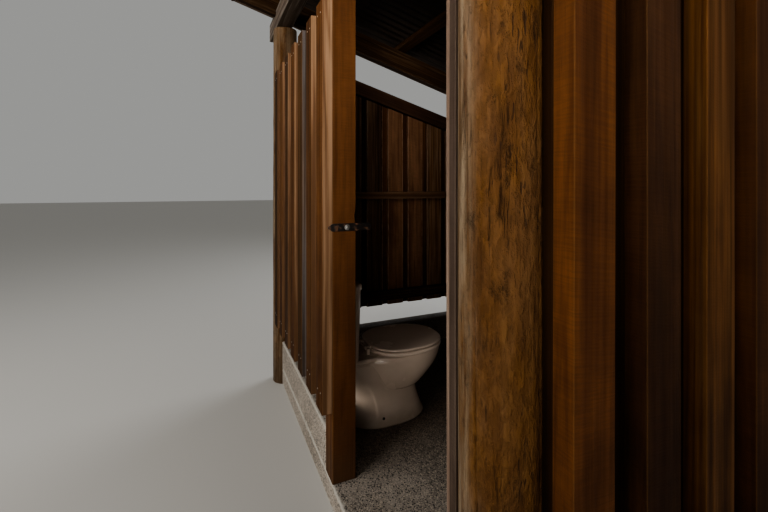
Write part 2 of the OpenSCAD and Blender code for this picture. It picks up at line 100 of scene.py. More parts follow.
# ---- node trees
class Wiring:
    """Puts nodes into one tree.  Each call makes a node, feeds it and returns its output."""

    def __init__(self, tree):
        self.tree = tree

    def node(self, kind, feeds=(), out=0, **settings):
        made = self.tree.nodes.new("ShaderNode" + kind)
        for key, value in settings.items():
            setattr(made, key, value)
        for key, value in dict(feeds).items():
            socket = made.inputs[key]
            if isinstance(value, bpy.types.NodeSocket):
                self.tree.links.new(value, socket)
            else:
                colour = socket.type == "RGBA" and len(value) == 3
                socket.default_value = (*value, 1.0) if colour else value
        return made.outputs[out]

    def group(self, name, **feeds):
        return self.node("Group", feeds, node_tree=bpy.data.node_groups[name]).node.outputs

    def mask(self, name, **feeds):
        return self.group(name, **feeds)["Mask"]

    def place(self):
        return self.node("TexCoord", out=3)

    def parts(self, vector):
        return self.node("SeparateXYZ", {0: vector}).node.outputs

    def layer(self, name, out):
        return self.node("Attribute", attribute_name=name, out=out)

    def maths(self, operation, *values, clamp=False):
        return self.node("Math", enumerate(values), operation=operation, use_clamp=clamp)

    def times(self, first, second):
        return self.maths("MULTIPLY", first, second)

    def total(self, *pairs):
        """The sum of the values, each times its share."""
        found = 0.0
        for value, share in pairs:
            found = self.maths("MULTIPLY_ADD", value, share, found)
        return found

    def vector(self, operation, *values):
        return self.node("VectorMath", enumerate(values), operation=operation)

    def noise(self, vector, scale, detail=4.0, roughness=0.55, distortion=0.0, draw=None):
        """Noise, drawn out along the grain by (1, draw, 1), or by a vector of its own."""
        if draw:
            by = (1.0, draw, 1.0) if isinstance(draw, float) else draw
            vector = self.vector("MULTIPLY", vector, by)
        return self.node("TexNoise", {"Vector": vector, "Scale": scale, "Detail": detail,
                                      "Roughness": roughness, "Distortion": distortion})

    def spread(self, value, low, high, to_low=0.0, to_high=1.0):
        """The value from low..high carried to to_low..to_high, and held at both ends."""
        return self.node("MapRange", enumerate((value, low, high, to_low, to_high)),
                         interpolation_type="SMOOTHSTEP")

    def mix(self, amount, first, second, blend="MIX"):
        return self.node("Mix", {0: amount, 6: first, 7: second}, out=2,
                         data_type="RGBA", blend_type=blend)

    def over(self, colour, *coats):
        """The colour under coats of others, each with its mask and its share."""
        for mask, share, other in coats:
            colour = self.mix(self.times(mask, share), colour, other)
        return colour

    def darker(self, colour, amount, by):
        """The colour, multiplied by another where the amount is 1."""
        return self.mix(amount, colour, self.mix(1.0, colour, by, "MULTIPLY"))


KINDS = {"Grain": "Vector", "Vector": "Vector", **dict.fromkeys(
    ("Early", "Late", "Dark", "Pale", "Color"), "Color")}


def effect(takes, gives):
    """Makes a shared shader group of a function.  It gets the inputs' sockets and returns the
    outputs' values, both in the order of their names."""
    def share(build):
        tree = bpy.data.node_groups.new(build.__name__, "ShaderNodeTree")
        for names, way in ((takes, "INPUT"), (gives, "OUTPUT")):
            for name in names.split():
                tree.interface.new_socket(
                    name, in_out=way, socket_type="NodeSocket" + KINDS.get(name, "Float"))
        entry, leave = tree.nodes.new("NodeGroupInput"), tree.nodes.new("NodeGroupOutput")
        found = build(Wiring(tree), *(entry.outputs[name] for name in takes.split()))
        for name, value in zip(gives.split(), found):
            tree.links.new(value, leave.inputs[name])
        return build
    return share


@effect("Grain Early Late Rings Figure", "Color Height Tone")
def timber_grain(w, grain, early, late, rings, figure):
    """Straight fibres over slower bands, and the growth rings of flat-sawn timber.

    With (u, v) across and along the grain, fibre = noise(u, v / 100), band = noise(u, v / 40)
    and rings = sin(2 pi (k u + noise(u, v / 30)))."""
    fibre = w.noise(grain, 82.0, 6.0, 0.76, draw=0.010)
    thread = w.noise(grain, 1100.0, 2.0, 0.5, draw=0.008)
    band = w.noise(grain, 32.0, 3.0, 0.5, 0.2, draw=0.025)
    drift = w.noise(grain, 7.0, 2.0, 0.5, draw=0.033)
    swing = w.maths("MULTIPLY_ADD", w.parts(grain)[0], rings, w.times(drift, 9.0))
    wave = w.maths("MULTIPLY_ADD", w.maths("SINE", w.times(swing, 2 * math.pi)), 0.5, 0.5)
    ringed = w.times(w.maths("POWER", wave, 2.5), figure)
    tone = w.total((w.spread(fibre, 0.34, 0.66), 0.34), (w.spread(band, 0.32, 0.68), 0.54),
                   (w.spread(thread, 0.3, 0.7), 0.08))
    tone = w.maths("SUBTRACT", tone, ringed, clamp=True)
    pore = w.spread(thread, 0.66, 0.78)
    colour = w.mix(tone, late, early)
    colour = w.over(colour, (pore, 0.5, w.mix(0.7, colour, (0.01, 0.006, 0.004))))
    height = w.total((fibre, 0.9), (band, 0.4), (thread, 0.22), (pore, -0.4), (ringed, -0.4))
    return colour, height, tone


@effect("Grain Scale From To", "Mask")
def streaks(w, grain, scale, low, high):
    """Stain that has run or worn unevenly down a face: noise drawn out 20 times along the grain."""
    run = w.noise(grain, scale, 4.0, 0.6, 0.3, draw=0.05)
    patch = w.noise(grain, 5.0, 3.0, 0.5, draw=0.3)
    return (w.spread(w.total((run, 0.65), (patch, 0.35)), low, high),)


@effect("Vector Distance Width", "Mask")
def arris_wear(w, place, distance, width):
    """1 on an arris, falling to 0 a given width away, broken up by noise."""
    ragged = w.noise(place, 60.0, 4.0, 0.6, draw=(1.0, 1.0, 0.25))
    reach = w.times(width, w.spread(ragged, 0.35, 0.7, 0.15, 1.6))
    return (w.maths("SUBTRACT", 1.0, w.maths("DIVIDE", distance, reach), clamp=True),)


@effect("Vector Reach", "Mask")
def foot_dirt(w, place, reach):
    """Splashed dirt that fades out with height, ragged at its upper edge."""
    height = w.maths("DIVIDE", w.parts(place)[2], reach)
    lifted = w.total((height, 1.0), (w.noise(place, 9.0, 5.0, 0.62), 0.9))
    return (w.spread(lifted, 0.5, 1.35, 1.0, 0.0),)


@effect("Vector Scale Share Dark Pale", "Color Mask")
def stone_speckle(w, place, scale, share, dark, pale):
    """Small stones set in cement: cells of a Voronoi pattern, kept where a random draw allows."""
    cells = w.node("TexVoronoi", {"Vector": place, "Scale": scale}, out=1)
    draw, shade = (w.node("SeparateColor", {0: cells}, out=i) for i in range(2))
    body = w.spread(cells.node.outputs[0], 0.34, 0.46, 1.0, 0.0)
    return (w.mix(w.spread(shade, 0.48, 0.60), dark, pale),
            w.times(w.maths("LESS_THAN", draw, share), body))


@effect("Vector Scale From", "Mask Height")
def old_metal(w, place, scale, low):
    """Rust and dull patches on metal, with pits where the rust is deep."""
    spots = w.noise(place, scale, 8.0, 0.66, 0.3)
    pits = w.noise(place, 900.0, 3.0, 0.6)
    return w.spread(spots, low, w.maths("ADD", low, 0.13)), w.total((pits, 0.4), (spots, 1.0))


# ---- materials
finishes = {}


def finish(name, slot, build, shader=()):
    """A material.  build(wiring) gives the height and the depth of its bumps, and what feeds
    the shader's sockets."""
    material = bpy.data.materials.new(name)
    material.use_nodes = True
    tree = material.node_tree
    tree.nodes.clear()
    w = Wiring(tree)
    height, depth, sockets = build(w)
    bump = w.node("Bump", {"Height": height, "Distance": depth, "Strength": 1.0})
    shaded = w.node("BsdfPrincipled", {**sockets, "Normal": bump, **dict(shader)})
    tree.links.new(shaded, tree.nodes.new("ShaderNodeOutputMaterial").inputs[0])
    finishes[name] = (material, slot)


def arris_mask(w, place, width):
    """Wear on the arrises, from how far across its side each point is."""
    across, half, _ = w.parts(w.layer("board", 1))
    distance = w.maths("SUBTRACT", half, w.maths("ABSOLUTE", across))
    return w.mask("arris_wear", Vector=place, Distance=distance, Width=width)


def sawn(early, late, worn, figure=0.3, dark=0.7, wear=0.0009, weather=0.3, depth=0.0010,
         damp=0.75, soak=1.25, edges=0.12, bare=None, narrow_sides=None):
    """Rough-sawn stained timber on the (u, v) of its boards, with each board a shade of its own.
    bare is the colour of sawn sides that look along y and have lost their stain, and
    narrow_sides is the colour of a board's narrow sides."""
    def build(w):
        u_v, place = w.node("UVMap", uv_map="grain"), w.place()
        _, half, tint = w.parts(w.layer("board", 1))
        kind = w.maths("FRACT", w.times(tint, 7.31))
        seeded = w.vector("ADD", u_v, w.node("CombineXYZ", {2: w.times(tint, 7.0)}))
        grain = w.group("timber_grain", Grain=seeded, Early=early, Late=late, Rings=45.0,
                        Figure=figure)
        tone = grain["Tone"]
        # Some boards are plain in colour, with the saw's marks across them in place of stripes
        plain = w.spread(kind, 0.25, 0.60, 0.72, 0.0)
        even = w.spread(w.noise(seeded, 14.0, 4.0, 0.6, draw=0.35), 0.30, 0.70, 0.35, 0.9)
        cuts = w.spread(w.noise(seeded, 290.0, 3.0, 0.6, draw=(0.05, 1.0, 1.0)), 0.42, 0.60)
        flat = w.over(w.mix(even, late, early), (cuts, 0.30, late))
        shade = w.node("HueSaturation", {"Hue": w.spread(kind, 0.0, 1.0, 0.496, 0.505),
                                         "Saturation": w.spread(tint, 0.0, 1.0, 1.01, 1.06),
                                         "Value": w.spread(tint, 0.0, 1.0, 0.50, 1.25),
                                         "Color": w.mix(plain, grain["Color"], flat)})
        pale = w.mask("streaks", Grain=seeded, Scale=42.0, From=0.50, To=0.64)
        faded = w.times(w.spread(kind, 0.3, 1.0, 0.35, 1.3), weather)
        colour = w.over(shade, (pale, faded, worn))
        # Dark water stains, wide and soft, and narrow ones within them
        runs = w.mask("streaks", Grain=seeded, Scale=11.0, From=0.44, To=0.64)
        thin = w.mask("streaks", Grain=seeded, Scale=48.0, From=0.46, To=0.60)
        stain = w.times(w.maths("MAXIMUM", runs, w.times(thin, 0.6)), dark)
        colour = w.darker(colour, stain, (0.28, 0.22, 0.19))
        wet = w.mask("foot_dirt", Vector=place, Reach=soak)
        colour = w.darker(colour, w.times(wet, damp), (0.36, 0.31, 0.28))
        if bare:
            normal = w.parts(w.node("NewGeometry", out=1))
            side = w.spread(w.maths("ABSOLUTE", normal[1]), 0.55, 0.85)
            dusty = w.mix(w.spread(kind, 0.78, 0.86), bare, (0.150, 0.140, 0.142))
            dusty = w.over(dusty, (stain, 0.5, worn))
            dusty = w.darker(dusty, w.spread(tone, 0.15, 0.80, 1.0, 0.0), (0.42, 0.36, 0.32))
            colour = w.over(colour, (side, 0.9, dusty))
        if narrow_sides:
            raw = w.darker(narrow_sides, w.spread(tone, 0.15, 0.80, 0.7, 0.0), (0.50, 0.44, 0.40))
            colour = w.mix(w.spread(half, 0.013, 0.017, 1.0, 0.0), colour, raw)
        splash = w.mask("foot_dirt", Vector=place, Reach=0.45)
        colour = w.over(colour, (arris_mask(w, place, wear), edges, worn),
                        (splash, 0.4, (0.06, 0.045, 0.03)))
        # The saw's marks: uneven waves across the grain, 6 mm apart
        wander = w.times(w.noise(seeded, 30.0, 2.0), 14.0)
        saw = w.maths("SINE", w.maths("MULTIPLY_ADD", w.parts(u_v)[1], 1050.0, wander))
        growth = w.node("TexWave", {"Vector": u_v, "Scale": 60.0, "Distortion": 2.0,
                                    "Detail": 2.0}, wave_type="RINGS")
        cut = w.mix(growth, late, w.mix(0.45, early, worn))
        colour = w.mix(w.layer("cut_end", 2), colour, cut)
        return (w.total((saw, 0.04), (grain["Height"], 1.0)), depth,
                {"Base Color": colour, "Roughness": w.spread(tone, 0.0, 1.0, 0.80, 0.58)})
    return build


def peeled(w):
    """A peeled log: fibres along it, dark lens-shaped marks, drying checks painted dark inside as
    painted shade, rough patches where bark clung with painted shade between their ridges, and a
    grey and pink side that is partly weathering and partly painted light.  The pattern runs on
    (x, z, y), so z is the grain's way."""
    place = w.place()
    x, y, z = w.parts(place)
    way = w.node("CombineXYZ", {0: x, 1: z, 2: y})

    def patches(draw, low, high, *kind, least=0.0):
        return w.spread(w.noise(way, *kind, draw=draw), low, high, least)

    grain = w.group("timber_grain", Grain=way, Early=(0.130, 0.063, 0.019),
                    Late=(0.082, 0.034, 0.007), Rings=8.0, Figure=0.08)
    # Grey and pink: weathering by a share, and painted light on the side towards the lamps
    outer = w.layer("weathered", 2)
    pink = patches(0.2, 0.40, 0.62, 13.0, 4.0, 0.6)
    mottle = patches(0.45, 0.40, 0.62, 62.0, 4.0, 0.62)
    bands = patches(0.16, 0.46, 0.66, 30.0, 5.0, 0.6, 0.5)
    lens = patches(0.17, 0.600, 0.68, 150.0, 3.0, 0.55, 0.3)
    mark = w.times(lens, patches(0.3, 0.42, 0.62, 13.0, 3.0, least=0.15))
    # Drying checks, painted dark inside as painted shade
    check = w.maths("SUBTRACT", w.noise(way, 60.0, 5.0, 0.65, 0.4, draw=0.04), 0.5)
    crack = w.times(w.spread(w.maths("ABSOLUTE", check), 0.0, 0.012, 1.0, 0.0),
                    patches(0.2, 0.52, 0.66, 14.0, 3.0))
    # Bark scars: patches of short crumpled ridges, painted darker between the ridges as painted
    # shade
    scar = patches(0.6, 0.57, 0.70, 26.0, 5.0, 0.62)
    ridges = w.noise(way, 190.0, 3.0, 0.6, 1.8, draw=0.5)
    dip = w.times(scar, w.spread(ridges, 0.42, 0.56, 1.0, 0.0))
    silver = patches(0.05, 0.34, 0.62, 60.0, 5.0, 0.6)
    splash = w.mask("foot_dirt", Vector=place, Reach=0.35)
    colour = w.over(grain["Color"],
                    (pink, w.spread(outer, 0.0, 0.4, 0.35, 1.0), (0.128, 0.071, 0.036)))
    colour = w.darker(colour, w.times(mottle, 0.42), (0.42, 0.36, 0.30))
    colour = w.over(colour, (bands, 0.48, (0.048, 0.020, 0.007)),
                    (mark, 0.75, (0.018, 0.009, 0.005)), (crack, 0.7, (0.018, 0.011, 0.007)),
                    (scar, 0.20, (0.085, 0.042, 0.014)), (dip, 0.55, (0.028, 0.014, 0.006)),
                    (silver, w.spread(outer, 0.15, 0.9, 0.0, 0.8), (0.240, 0.188, 0.128)),
                    (splash, 0.55, (0.05, 0.038, 0.026)))
    rasp = w.noise(way, 260.0, 4.0, 0.6, draw=0.35)
    height = w.total((rasp, 0.7), (grain["Height"], 1.0), (bands, -0.4), (mottle, -1.2),
                     (mark, -0.8), (crack, -1.6), (scar, 0.6), (dip, -1.5))
    return height, 0.0022, {"Base Color": colour,
                            "Roughness": w.spread(grain["Tone"], 0.0, 1.0, 0.85, 0.66)}


def cast(w):
    """Concrete rubbed back to its stones: pale cement with small dark and pale stones in it."""
    place = w.place()
    cloud = w.noise(place, 3.2, 6.0, 0.6)
    fine = w.group("stone_speckle", Vector=place, Scale=210.0, Share=0.85,
                   Dark=(0.035, 0.030, 0.026), Pale=(0.50, 0.44, 0.37))
    big = w.group("stone_speckle", Vector=place, Scale=118.0, Share=0.88,
                  Dark=(0.022, 0.019, 0.017), Pale=(0.46, 0.39, 0.31))
    colour = w.mix(w.spread(cloud, 0.3, 0.7), (0.20, 0.170, 0.140), (0.36, 0.315, 0.270))
    stain = w.spread(w.noise(place, 1.7, 5.0, 0.6), 0.52, 0.75)
    colour = w.over(colour, (fine["Mask"], 0.90, fine["Color"]), (big["Mask"], 0.95, big["Color"]),
                    (arris_mask(w, place, 0.014), 0.6, (0.55, 0.52, 0.46)),
                    (stain, 0.45, (0.12, 0.10, 0.075)))
    # Painted shade: the floor inside darkens towards the far wall, away from the doorway, and the
    # kerb on the doorway side is left out
    inward, along, _ = w.parts(place)
    back = w.times(w.spread(along, -0.25, 0.20, 0.0, 0.85), w.spread(inward, -0.80, -0.72))
    colour = w.darker(colour, back, (0.34, 0.26, 0.20))
    return (w.total((big["Mask"], 0.7), (fine["Mask"], 0.4), (cloud, 1.0)), 0.0012,
            {"Base Color": colour, "Roughness": w.spread(big["Mask"], 0.0, 1.0, 0.78, 0.5)})


def weathered_sheet(w):
    """Dull grey roofing with rain streaks down the slope and rust at some spots, and painted shade
    underneath: a dark brown where the normal points down."""
    place = w.place()
    runs = w.spread(w.noise(place, 30.0, 5.0, 0.6, draw=(0.06, 1.0, 0.06)), 0.45, 0.65)
    cloud = w.noise(place, 2.4, 5.0, 0.6)
    colour = w.mix(w.spread(cloud, 0.3, 0.7), (0.16, 0.17, 0.165), (0.27, 0.28, 0.27))
    rust = w.group("old_metal", Vector=w.vector("MULTIPLY", place, (0.25, 1.0, 0.25)),
                   Scale=11.0, From=0.63)
    colour = w.over(colour, (runs, 0.45, (0.10, 0.095, 0.08)),
                    (rust["Mask"], 0.8, (0.17, 0.07, 0.03)))
    # Painted shade: dark brown on the faces whose normal points down
    below = w.spread(w.parts(w.node("NewGeometry", out=1))[2], -0.3, 0.0, 1.0, 0.0)
    painted_under_shade = w.mix(w.spread(cloud, 0.35, 0.65), (0.018, 0.011, 0.007), (0.034, 0.021, 0.013))
    dull = w.maths("MAXIMUM", rust["Mask"], below)
    return rust["Height"], 0.0003, {"Base Color": w.mix(below, colour, painted_under_shade),
                                    "Roughness": w.spread(dull, 0.0, 1.0, 0.45, 0.85),
                                    "Metallic": w.spread(dull, 0.0, 1.0, 0.75, 0.0)}


def glazed(base, shade, grime):
    """White ware that has gone a little uneven, with grime gathered low down."""
    def build(w):
        place = w.place()
        cloud = w.noise(place, 4.0, 4.0, 0.55)
        low_down = w.vector("SUBTRACT", place, (0.0, 0.0, 0.1))
        splash = w.mask("foot_dirt", Vector=low_down, Reach=0.10)
        speck = w.spread(w.noise(place, 260.0, 3.0, 0.6), 0.70, 0.76)
        colour = w.over(w.mix(w.spread(cloud, 0.35, 0.68), base, shade),
                        (splash, grime, (0.23, 0.17, 0.11)), (speck, 0.25, (0.25, 0.2, 0.14)))
        return w.noise(place, 26.0, 2.0, 0.5), 0.0004, {
            "Base Color": colour, "Roughness": w.spread(cloud, 0.3, 0.7, 0.16, 0.30)}
    return build


def forged(base, rust_from):
    """Dark steel with rust and pits."""
    def build(w):
        rust = w.group("old_metal", Vector=w.place(), Scale=38.0, From=rust_from)
        mask = rust["Mask"]
        return rust["Height"], 0.0006, {
            "Base Color": w.mix(mask, base, (0.12, 0.052, 0.024)),
            "Roughness": w.spread(mask, 0.0, 1.0, 0.42, 0.9),
            "Metallic": w.spread(mask, 0.0, 1.0, 0.85, 0.1)}
    return build


# Paler wood for the far wall's boards and the shelf inside: painted light that makes up for the
# shade inside the hut
BRIGHTENED_INDOORS = (0.218, 0.116, 0.060), (0.080, 0.041, 0.021), (0.31, 0.21, 0.140)
# The early, late and worn wood of each sawn finish, and where it differs from the usual
TIMBERS = {
    "post_timber": ("post", ((0.245, 0.103, 0.0345), (0.115, 0.046, 0.0158), (0.33, 0.17, 0.055)),
                    {"figure": 0.16, "dark": 0.50, "wear": 0.0013, "weather": 0.12,
                     "depth": 0.0008, "damp": 0.10}),
    "cladding_timber": ("cladding", ((0.121, 0.051, 0.0174), (0.038, 0.016, 0.0058),
                                     (0.195, 0.107, 0.037)),
                        {"weather": 0.15, "damp": 0.85, "soak": 1.75}),
    "edged_timber": ("cladding", ((0.125, 0.053, 0.015), (0.040, 0.017, 0.005),
                                  (0.22, 0.12, 0.05)),
                     {"weather": 0.15, "bare": (0.352, 0.215, 0.127)}),
    # A darker board for the low side's grooves: painted shade
    "dim_timber_painted_shade": ("cladding", ((0.100, 0.047, 0.021), (0.036, 0.017, 0.008), (0.15, 0.09, 0.05)),
                   {"weather": 0.15}),
    "inner_timber_painted_light": ("cladding", BRIGHTENED_INDOORS, {"dark": 0.85, "damp": 0.4, "wear": 0.006, "edges": 0.6}),
    "door_timber": ("cladding", ((0.145, 0.080, 0.042), (0.052, 0.028, 0.015),
                                 (0.21, 0.14, 0.09)),
                    {"dark": 0.65, "damp": 0.6, "narrow_sides": (0.200, 0.145, 0.112)}),
    "shelf_timber_painted_light": ("framing", BRIGHTENED_INDOORS, {"dark": 0.5, "damp": 0.3}),
    # Rails: darker than the indoor wood, painted shade on the rails' tops under the roof
    "rail_timber_painted_shade": ("framing", ((0.130, 0.064, 0.032), (0.048, 0.023, 0.012),
                                (0.20, 0.125, 0.08)), {"dark": 0.6, "damp": 0.3}),
    # Rafters and purlins: darker than the cladding, painted shade under the roof
    "framing_timber_painted_shade": ("framing", ((0.080, 0.039, 0.016), (0.030, 0.014, 0.006),
                                   (0.17, 0.105, 0.06)), {"dark": 0.6}),
    "trim_timber": ("framing", ((0.160, 0.113, 0.085), (0.076, 0.052, 0.038),
                                (0.28, 0.215, 0.17)),
                    {"figure": 0.25, "dark": 0.45, "damp": 0.4}),
    "beam_timber": ("framing", ((0.240, 0.180, 0.138), (0.110, 0.080, 0.060),
                                (0.42, 0.375, 0.33)),
                    {"figure": 0.25, "dark": 0.5, "weather": 0.6})}
MATT = {"Specular IOR Level": 0.10}
for look, (slot, woods, settings) in TIMBERS.items():
    finish(look, slot, sawn(*woods, **settings), MATT)
# Near-black boards behind the battens: painted shade in the grooves between the battens
finish("backing_timber_painted_shade", "cladding", sawn((0.036, 0.016, 0.006), (0.013, 0.006, 0.003),
                                          (0.06, 0.03, 0.012), weather=0.15),
       {"Specular IOR Level": 0.05})
finish("log_timber", "log", peeled, MATT)
finish("concrete_ground", "concrete", cast)
finish("roof_metal", "roofing", weathered_sheet)
finish("glazed_china", "china", glazed((0.70, 0.565, 0.465), (0.62, 0.490, 0.390), 0.45),
       {"Coat Weight": 0.6, "Coat Roughness": 0.06})
finish("seat_gloss", "seat_plastic", glazed((0.72, 0.595, 0.500), (0.67, 0.545, 0.450), 0.0),
       {"Coat Weight": 0.35, "Coat Roughness": 0.1})
finish("button_chrome", "button", forged((0.62, 0.62, 0.61), 0.9))
finish("dark_iron", "ironwork", forged((0.045, 0.040, 0.038), 0.50))
finish("zinc_head", "ironwork", forged((0.42, 0.41, 0.39), 0.60))


# ---- meshes
def placed(name, data, place=(0, 0, 0)):
    """An object that is linked into the scene."""
    made = bpy.data.objects.new(name, data)
    made.location = place
    bpy.context.scene.collection.objects.link(made)
    return made


def piece(name, points, faces, look, body="root", solid=None, smooth=True, crease=None,
          uv=None, **layers):
    """Puts points and faces into a mesh that rides on a body, and stands for a solid if one is
    named.  uv and layers hold one value per point, or per corner of the faces in their order."""
    mesh = bpy.data.meshes.new(name)
    mesh.from_pydata(np.reshape(points, (-1, 3)).tolist(), [], faces)
    if uv is not None:
        mesh.uv_layers.new(name="grain").uv.foreach_set("vector", np.ravel(uv).astype(np.float32))
    for key, values in layers.items():
        values = np.asarray(values, np.float32)
        kind, field = ("FLOAT_VECTOR", "vector") if values.ndim > 1 else ("FLOAT", "value")
        domain = "POINT" if len(values) == len(mesh.vertices) else "CORNER"
        mesh.attributes.new(key, kind, domain).data.foreach_set(field, values.ravel())
    mesh.polygons.foreach_set("use_smooth", [smooth] * len(mesh.polygons))
    if crease:
        mesh.set_sharp_from_angle(angle=math.radians(crease))
    mesh.validate()
    material, slot = finishes[look]
    mesh.materials.append(material)
    made = placed(name, mesh)
    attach(made, body)
    if solid:
        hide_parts(solid)


def xyz(x, y, z):
    """Points of three coordinates that are spread over each other's shape."""
    return np.stack(np.broadcast_arrays(x, y, z), -1)


def circle(sides):
    return np.linspace(0, 2 * math.pi, sides, endpoint=False)


def around(axis, hint, sides):
    """Unit vectors square to an axis, all round it."""
    side = np.cross(axis, hint)
    side /= np.linalg.norm(side)
    turn = circle(sides)[:, None]
    return np.cos(turn) * side + np.sin(turn) * np.cross(axis, side)


def quads(rows, columns, wrap_rows=False, start=0):
    """Faces of a grid of points numbered row by row, where each row closes on itself."""
    i = np.arange(rows if wrap_rows else rows - 1)[:, None]
    j = np.arange(columns)[None, :]
    down, right = (i + 1) % rows, (j + 1) % columns
    grid = np.stack([i * columns + j, i * columns + right, down * columns + right,
                     down * columns + j], -1)
    return (grid.reshape(-1, 4) + start).tolist()


def tube(rings, count, start=0):
    """Faces over rings of so many points, and the two flat faces that close the ends."""
    last = start + (rings - 1) * count
    return quads(rings, count, start=start) + [list(range(start + count - 1, start - 1, -1)),
                                               list(range(last, last + count))]


def skin(name, points, look, caps=True, **rest):
    """A closed skin over rings, points[ring, place on the ring, xyz].  The first ring is the
    lowest, the places turn anticlockwise seen from above, and flat faces close both ends."""
    rings, count = np.shape(points)[:2]
    faces = tube(rings, count) if caps else quads(rings, count, wrap_rows=True)
    piece(name, points, faces, look, **rest)


def rounded(segments):
    """The turn at each point of a rectangle with rounded corners, and its side in x and in y."""
    turn = np.tile(np.linspace(0, math.pi / 2, segments), 4)
    turn = turn + np.repeat(np.arange(4), segments) * math.pi / 2
    return turn, np.repeat([1, -1, -1, 1], segments), np.repeat([1, 1, -1, -1], segments)


ARC = 3  # points on each rounded corner of a timber
CAP_HALF = 0.02  # a cut end's distance from its arrises, far enough for no wear


def bars(node, rows, look, seed, made="sawn", arris=0.0025, stations=9, bow=0.0008, shape=None,
         body="root"):
    """Timbers, joined in one mesh that stands for a node.

    A row is (O, L, W, T, lean), and its surface is P = O + s L + a W' + b T' + lean a s L',
    where the dash means a unit vector, s runs from 0 to 1 and (a, b) runs round a rectangle
    |W| by |T| with corners rounded to the arris.  Each timber bows by bow sin(1.6 pi s + phase),
    and the ends are drawn in by the arris."""
    rng = np.random.default_rng(seed)
    count = len(rows)
    start, long, wide, deep = (np.array([row[i] for row in rows], float) for i in range(4))
    lean = np.array([row[4] for row in rows])[:, None, None]
    length, width, depth = (np.linalg.norm(v, axis=1)[:, None] for v in (long, wide, deep))
    along, across, through = long / length, wide / width, deep / depth
    through *= np.sign(np.einsum("ij,ij->i", np.cross(across, through), along))[:, None]

    turn, side_a, side_b = rounded(ARC)
    ring, rings, ease = turn.size, stations + 2, arris / length
    s = np.concatenate([0 * ease, ease + (1 - 2 * ease) * np.linspace(0, 1, stations),
                        0 * ease + 1], 1)
    drawn = np.zeros(rings)
    drawn[[0, -1]] = 2 * arris
    a = side_a * (width / 2 - arris) + arris * np.cos(turn)
    b = side_b * (depth / 2 - arris) + arris * np.sin(turn)
    a = a[:, None] * (1 - drawn[None, :, None] / width[..., None])
    b = b[:, None] * (1 - drawn[None, :, None] / depth[..., None])
    phase = rng.uniform(0, 2 * math.pi, (2, count, 1))
    swing = rng.uniform(-bow, bow, (2, count, 1)) * np.sin(math.pi * s[None] * 1.6 + phase)
    a, b = a + swing[0][..., None], b + swing[1][..., None]
    reach = s[..., None] * length[..., None] + lean * a * s[..., None]
    points = (start[:, None, None] + reach[..., None] * along[:, None, None]
              + a[..., None] * across[:, None, None] + b[..., None] * through[:, None, None])
    if shape:
        points = shape(points)

    # Corner values: the way round the section, the way along, and the distance from an arris
    step = np.hypot(np.diff(a[:, 1], axis=1, append=a[:, 1, :1]),
                    np.diff(b[:, 1], axis=1, append=b[:, 1, :1]))
    up_to = np.cumsum(step, 1)
    flat = np.where(np.arange(ring) % ARC == ARC - 1, step / 2, 0.0)
    shift = rng.uniform(0, 9, (count, 1, 1))
    tint = rng.uniform(0, 1, (count, 1, 1, 1))
    low, high = (s * length)[:, :-1, None], (s * length)[:, 1:, None]
    u = np.stack([up_to - step, up_to, up_to, up_to - step], -1)[:, None] + shift[..., None]
    v = np.stack(np.broadcast_arrays(low, low, high, high), -1) + shift[..., None]
    off, half = (flat[..., None] * [-1, 1, 1, -1])[:, None], flat[:, None, :, None]

    def layered(shape, *layers):
        return np.stack([np.broadcast_to(layer, shape) for layer in layers],
                        -1).reshape(-1, len(layers))

    sides, ends = (count, rings - 1, ring, 4), (count, 2, ring)
    caps = np.stack([np.stack([a[:, 0, ::-1], b[:, 0, ::-1]], -1) + shift,
                     np.stack([a[:, -1], b[:, -1]], -1) + shift], 1).reshape(-1, 2)
    tubes = [tube(rings, ring, start=i * rings * ring) for i in range(count)]
    side_uv = layered(sides, u, v)
    faces = sum((t[:-2] for t in tubes), []) + sum((t[-2:] for t in tubes), [])
    piece(f"{node}_{made}", points, faces, look, smooth=False, body=body, solid=node,
          uv=np.concatenate([side_uv, caps]),
          board=np.concatenate([layered(sides, off, half, tint),
                                layered(ends, 0.0, CAP_HALF, tint[..., 0])]),
          cut_end=np.repeat([0.0, 1.0], [len(side_uv), len(caps)]))


def timber(low, high, along, lean=0.0):
    """The row of a timber that fills a box, with its length along one axis."""
    low, high = np.asarray(low, float), np.asarray(high, float)
    broad, thin = sorted((i for i in range(3) if i != along), key=lambda i: low[i] - high[i])
    sides = np.diag(high - low)
    start = (low + high) / 2
    start[along] = low[along]
    return start, sides[along], sides[broad], sides[thin], lean


def between(low, high, axis, start, end):
    """The box low..high, cut down along one axis."""
    low, high = low.copy(), high.copy()
    low[axis], high[axis] = start, end
    return low, high


def sloping(low, high, base, top):
    """The row of a timber down the slope through a box, cut plumb, between two heights over the
    rafters' undersides."""
    run = high[0] - low[0]
    return ((low[0], (low[1] + high[1]) / 2, under(low[0]) + (base + top) / 2),
            (run, 0, -DROP * run), (0, 0, top - base), (0, high[1] - low[1], 0), 0.0)


def scribed(points):
    """Pulls back along y what would lie inside a round pole."""
    x, y = np.abs(points[..., 0]) - POLE_X, np.abs(points[..., 1])
    limit = POLE_Y - np.sqrt(np.maximum(POLE_R ** 2 - x ** 2, 0)) - SEAT_GAP
    clear = np.where(np.abs(x) < POLE_R, np.minimum(y, limit), y)
    points[..., 1] = np.sign(points[..., 1]) * clear
    return points


# ---- timber work
def clad_plan(first, last, board_first=0, board_last=0):
    """Starts and ends of the battens, and of the boards that they cover the gaps of."""
    gaps = round((last - first - BATTEN_W) / CLAD_PITCH)
    step = (last - first - BATTEN_W) / gaps
    batten = first + step * np.arange(gaps + 1)
    board = batten[:-1] + (BATTEN_W + step - BOARD_W) / 2
    board = np.stack([board, board + BOARD_W], 1)
    board[0, 0], board[-1, 1] = board_first, board_last
    return np.stack([batten, batten + BATTEN_W], 1), board


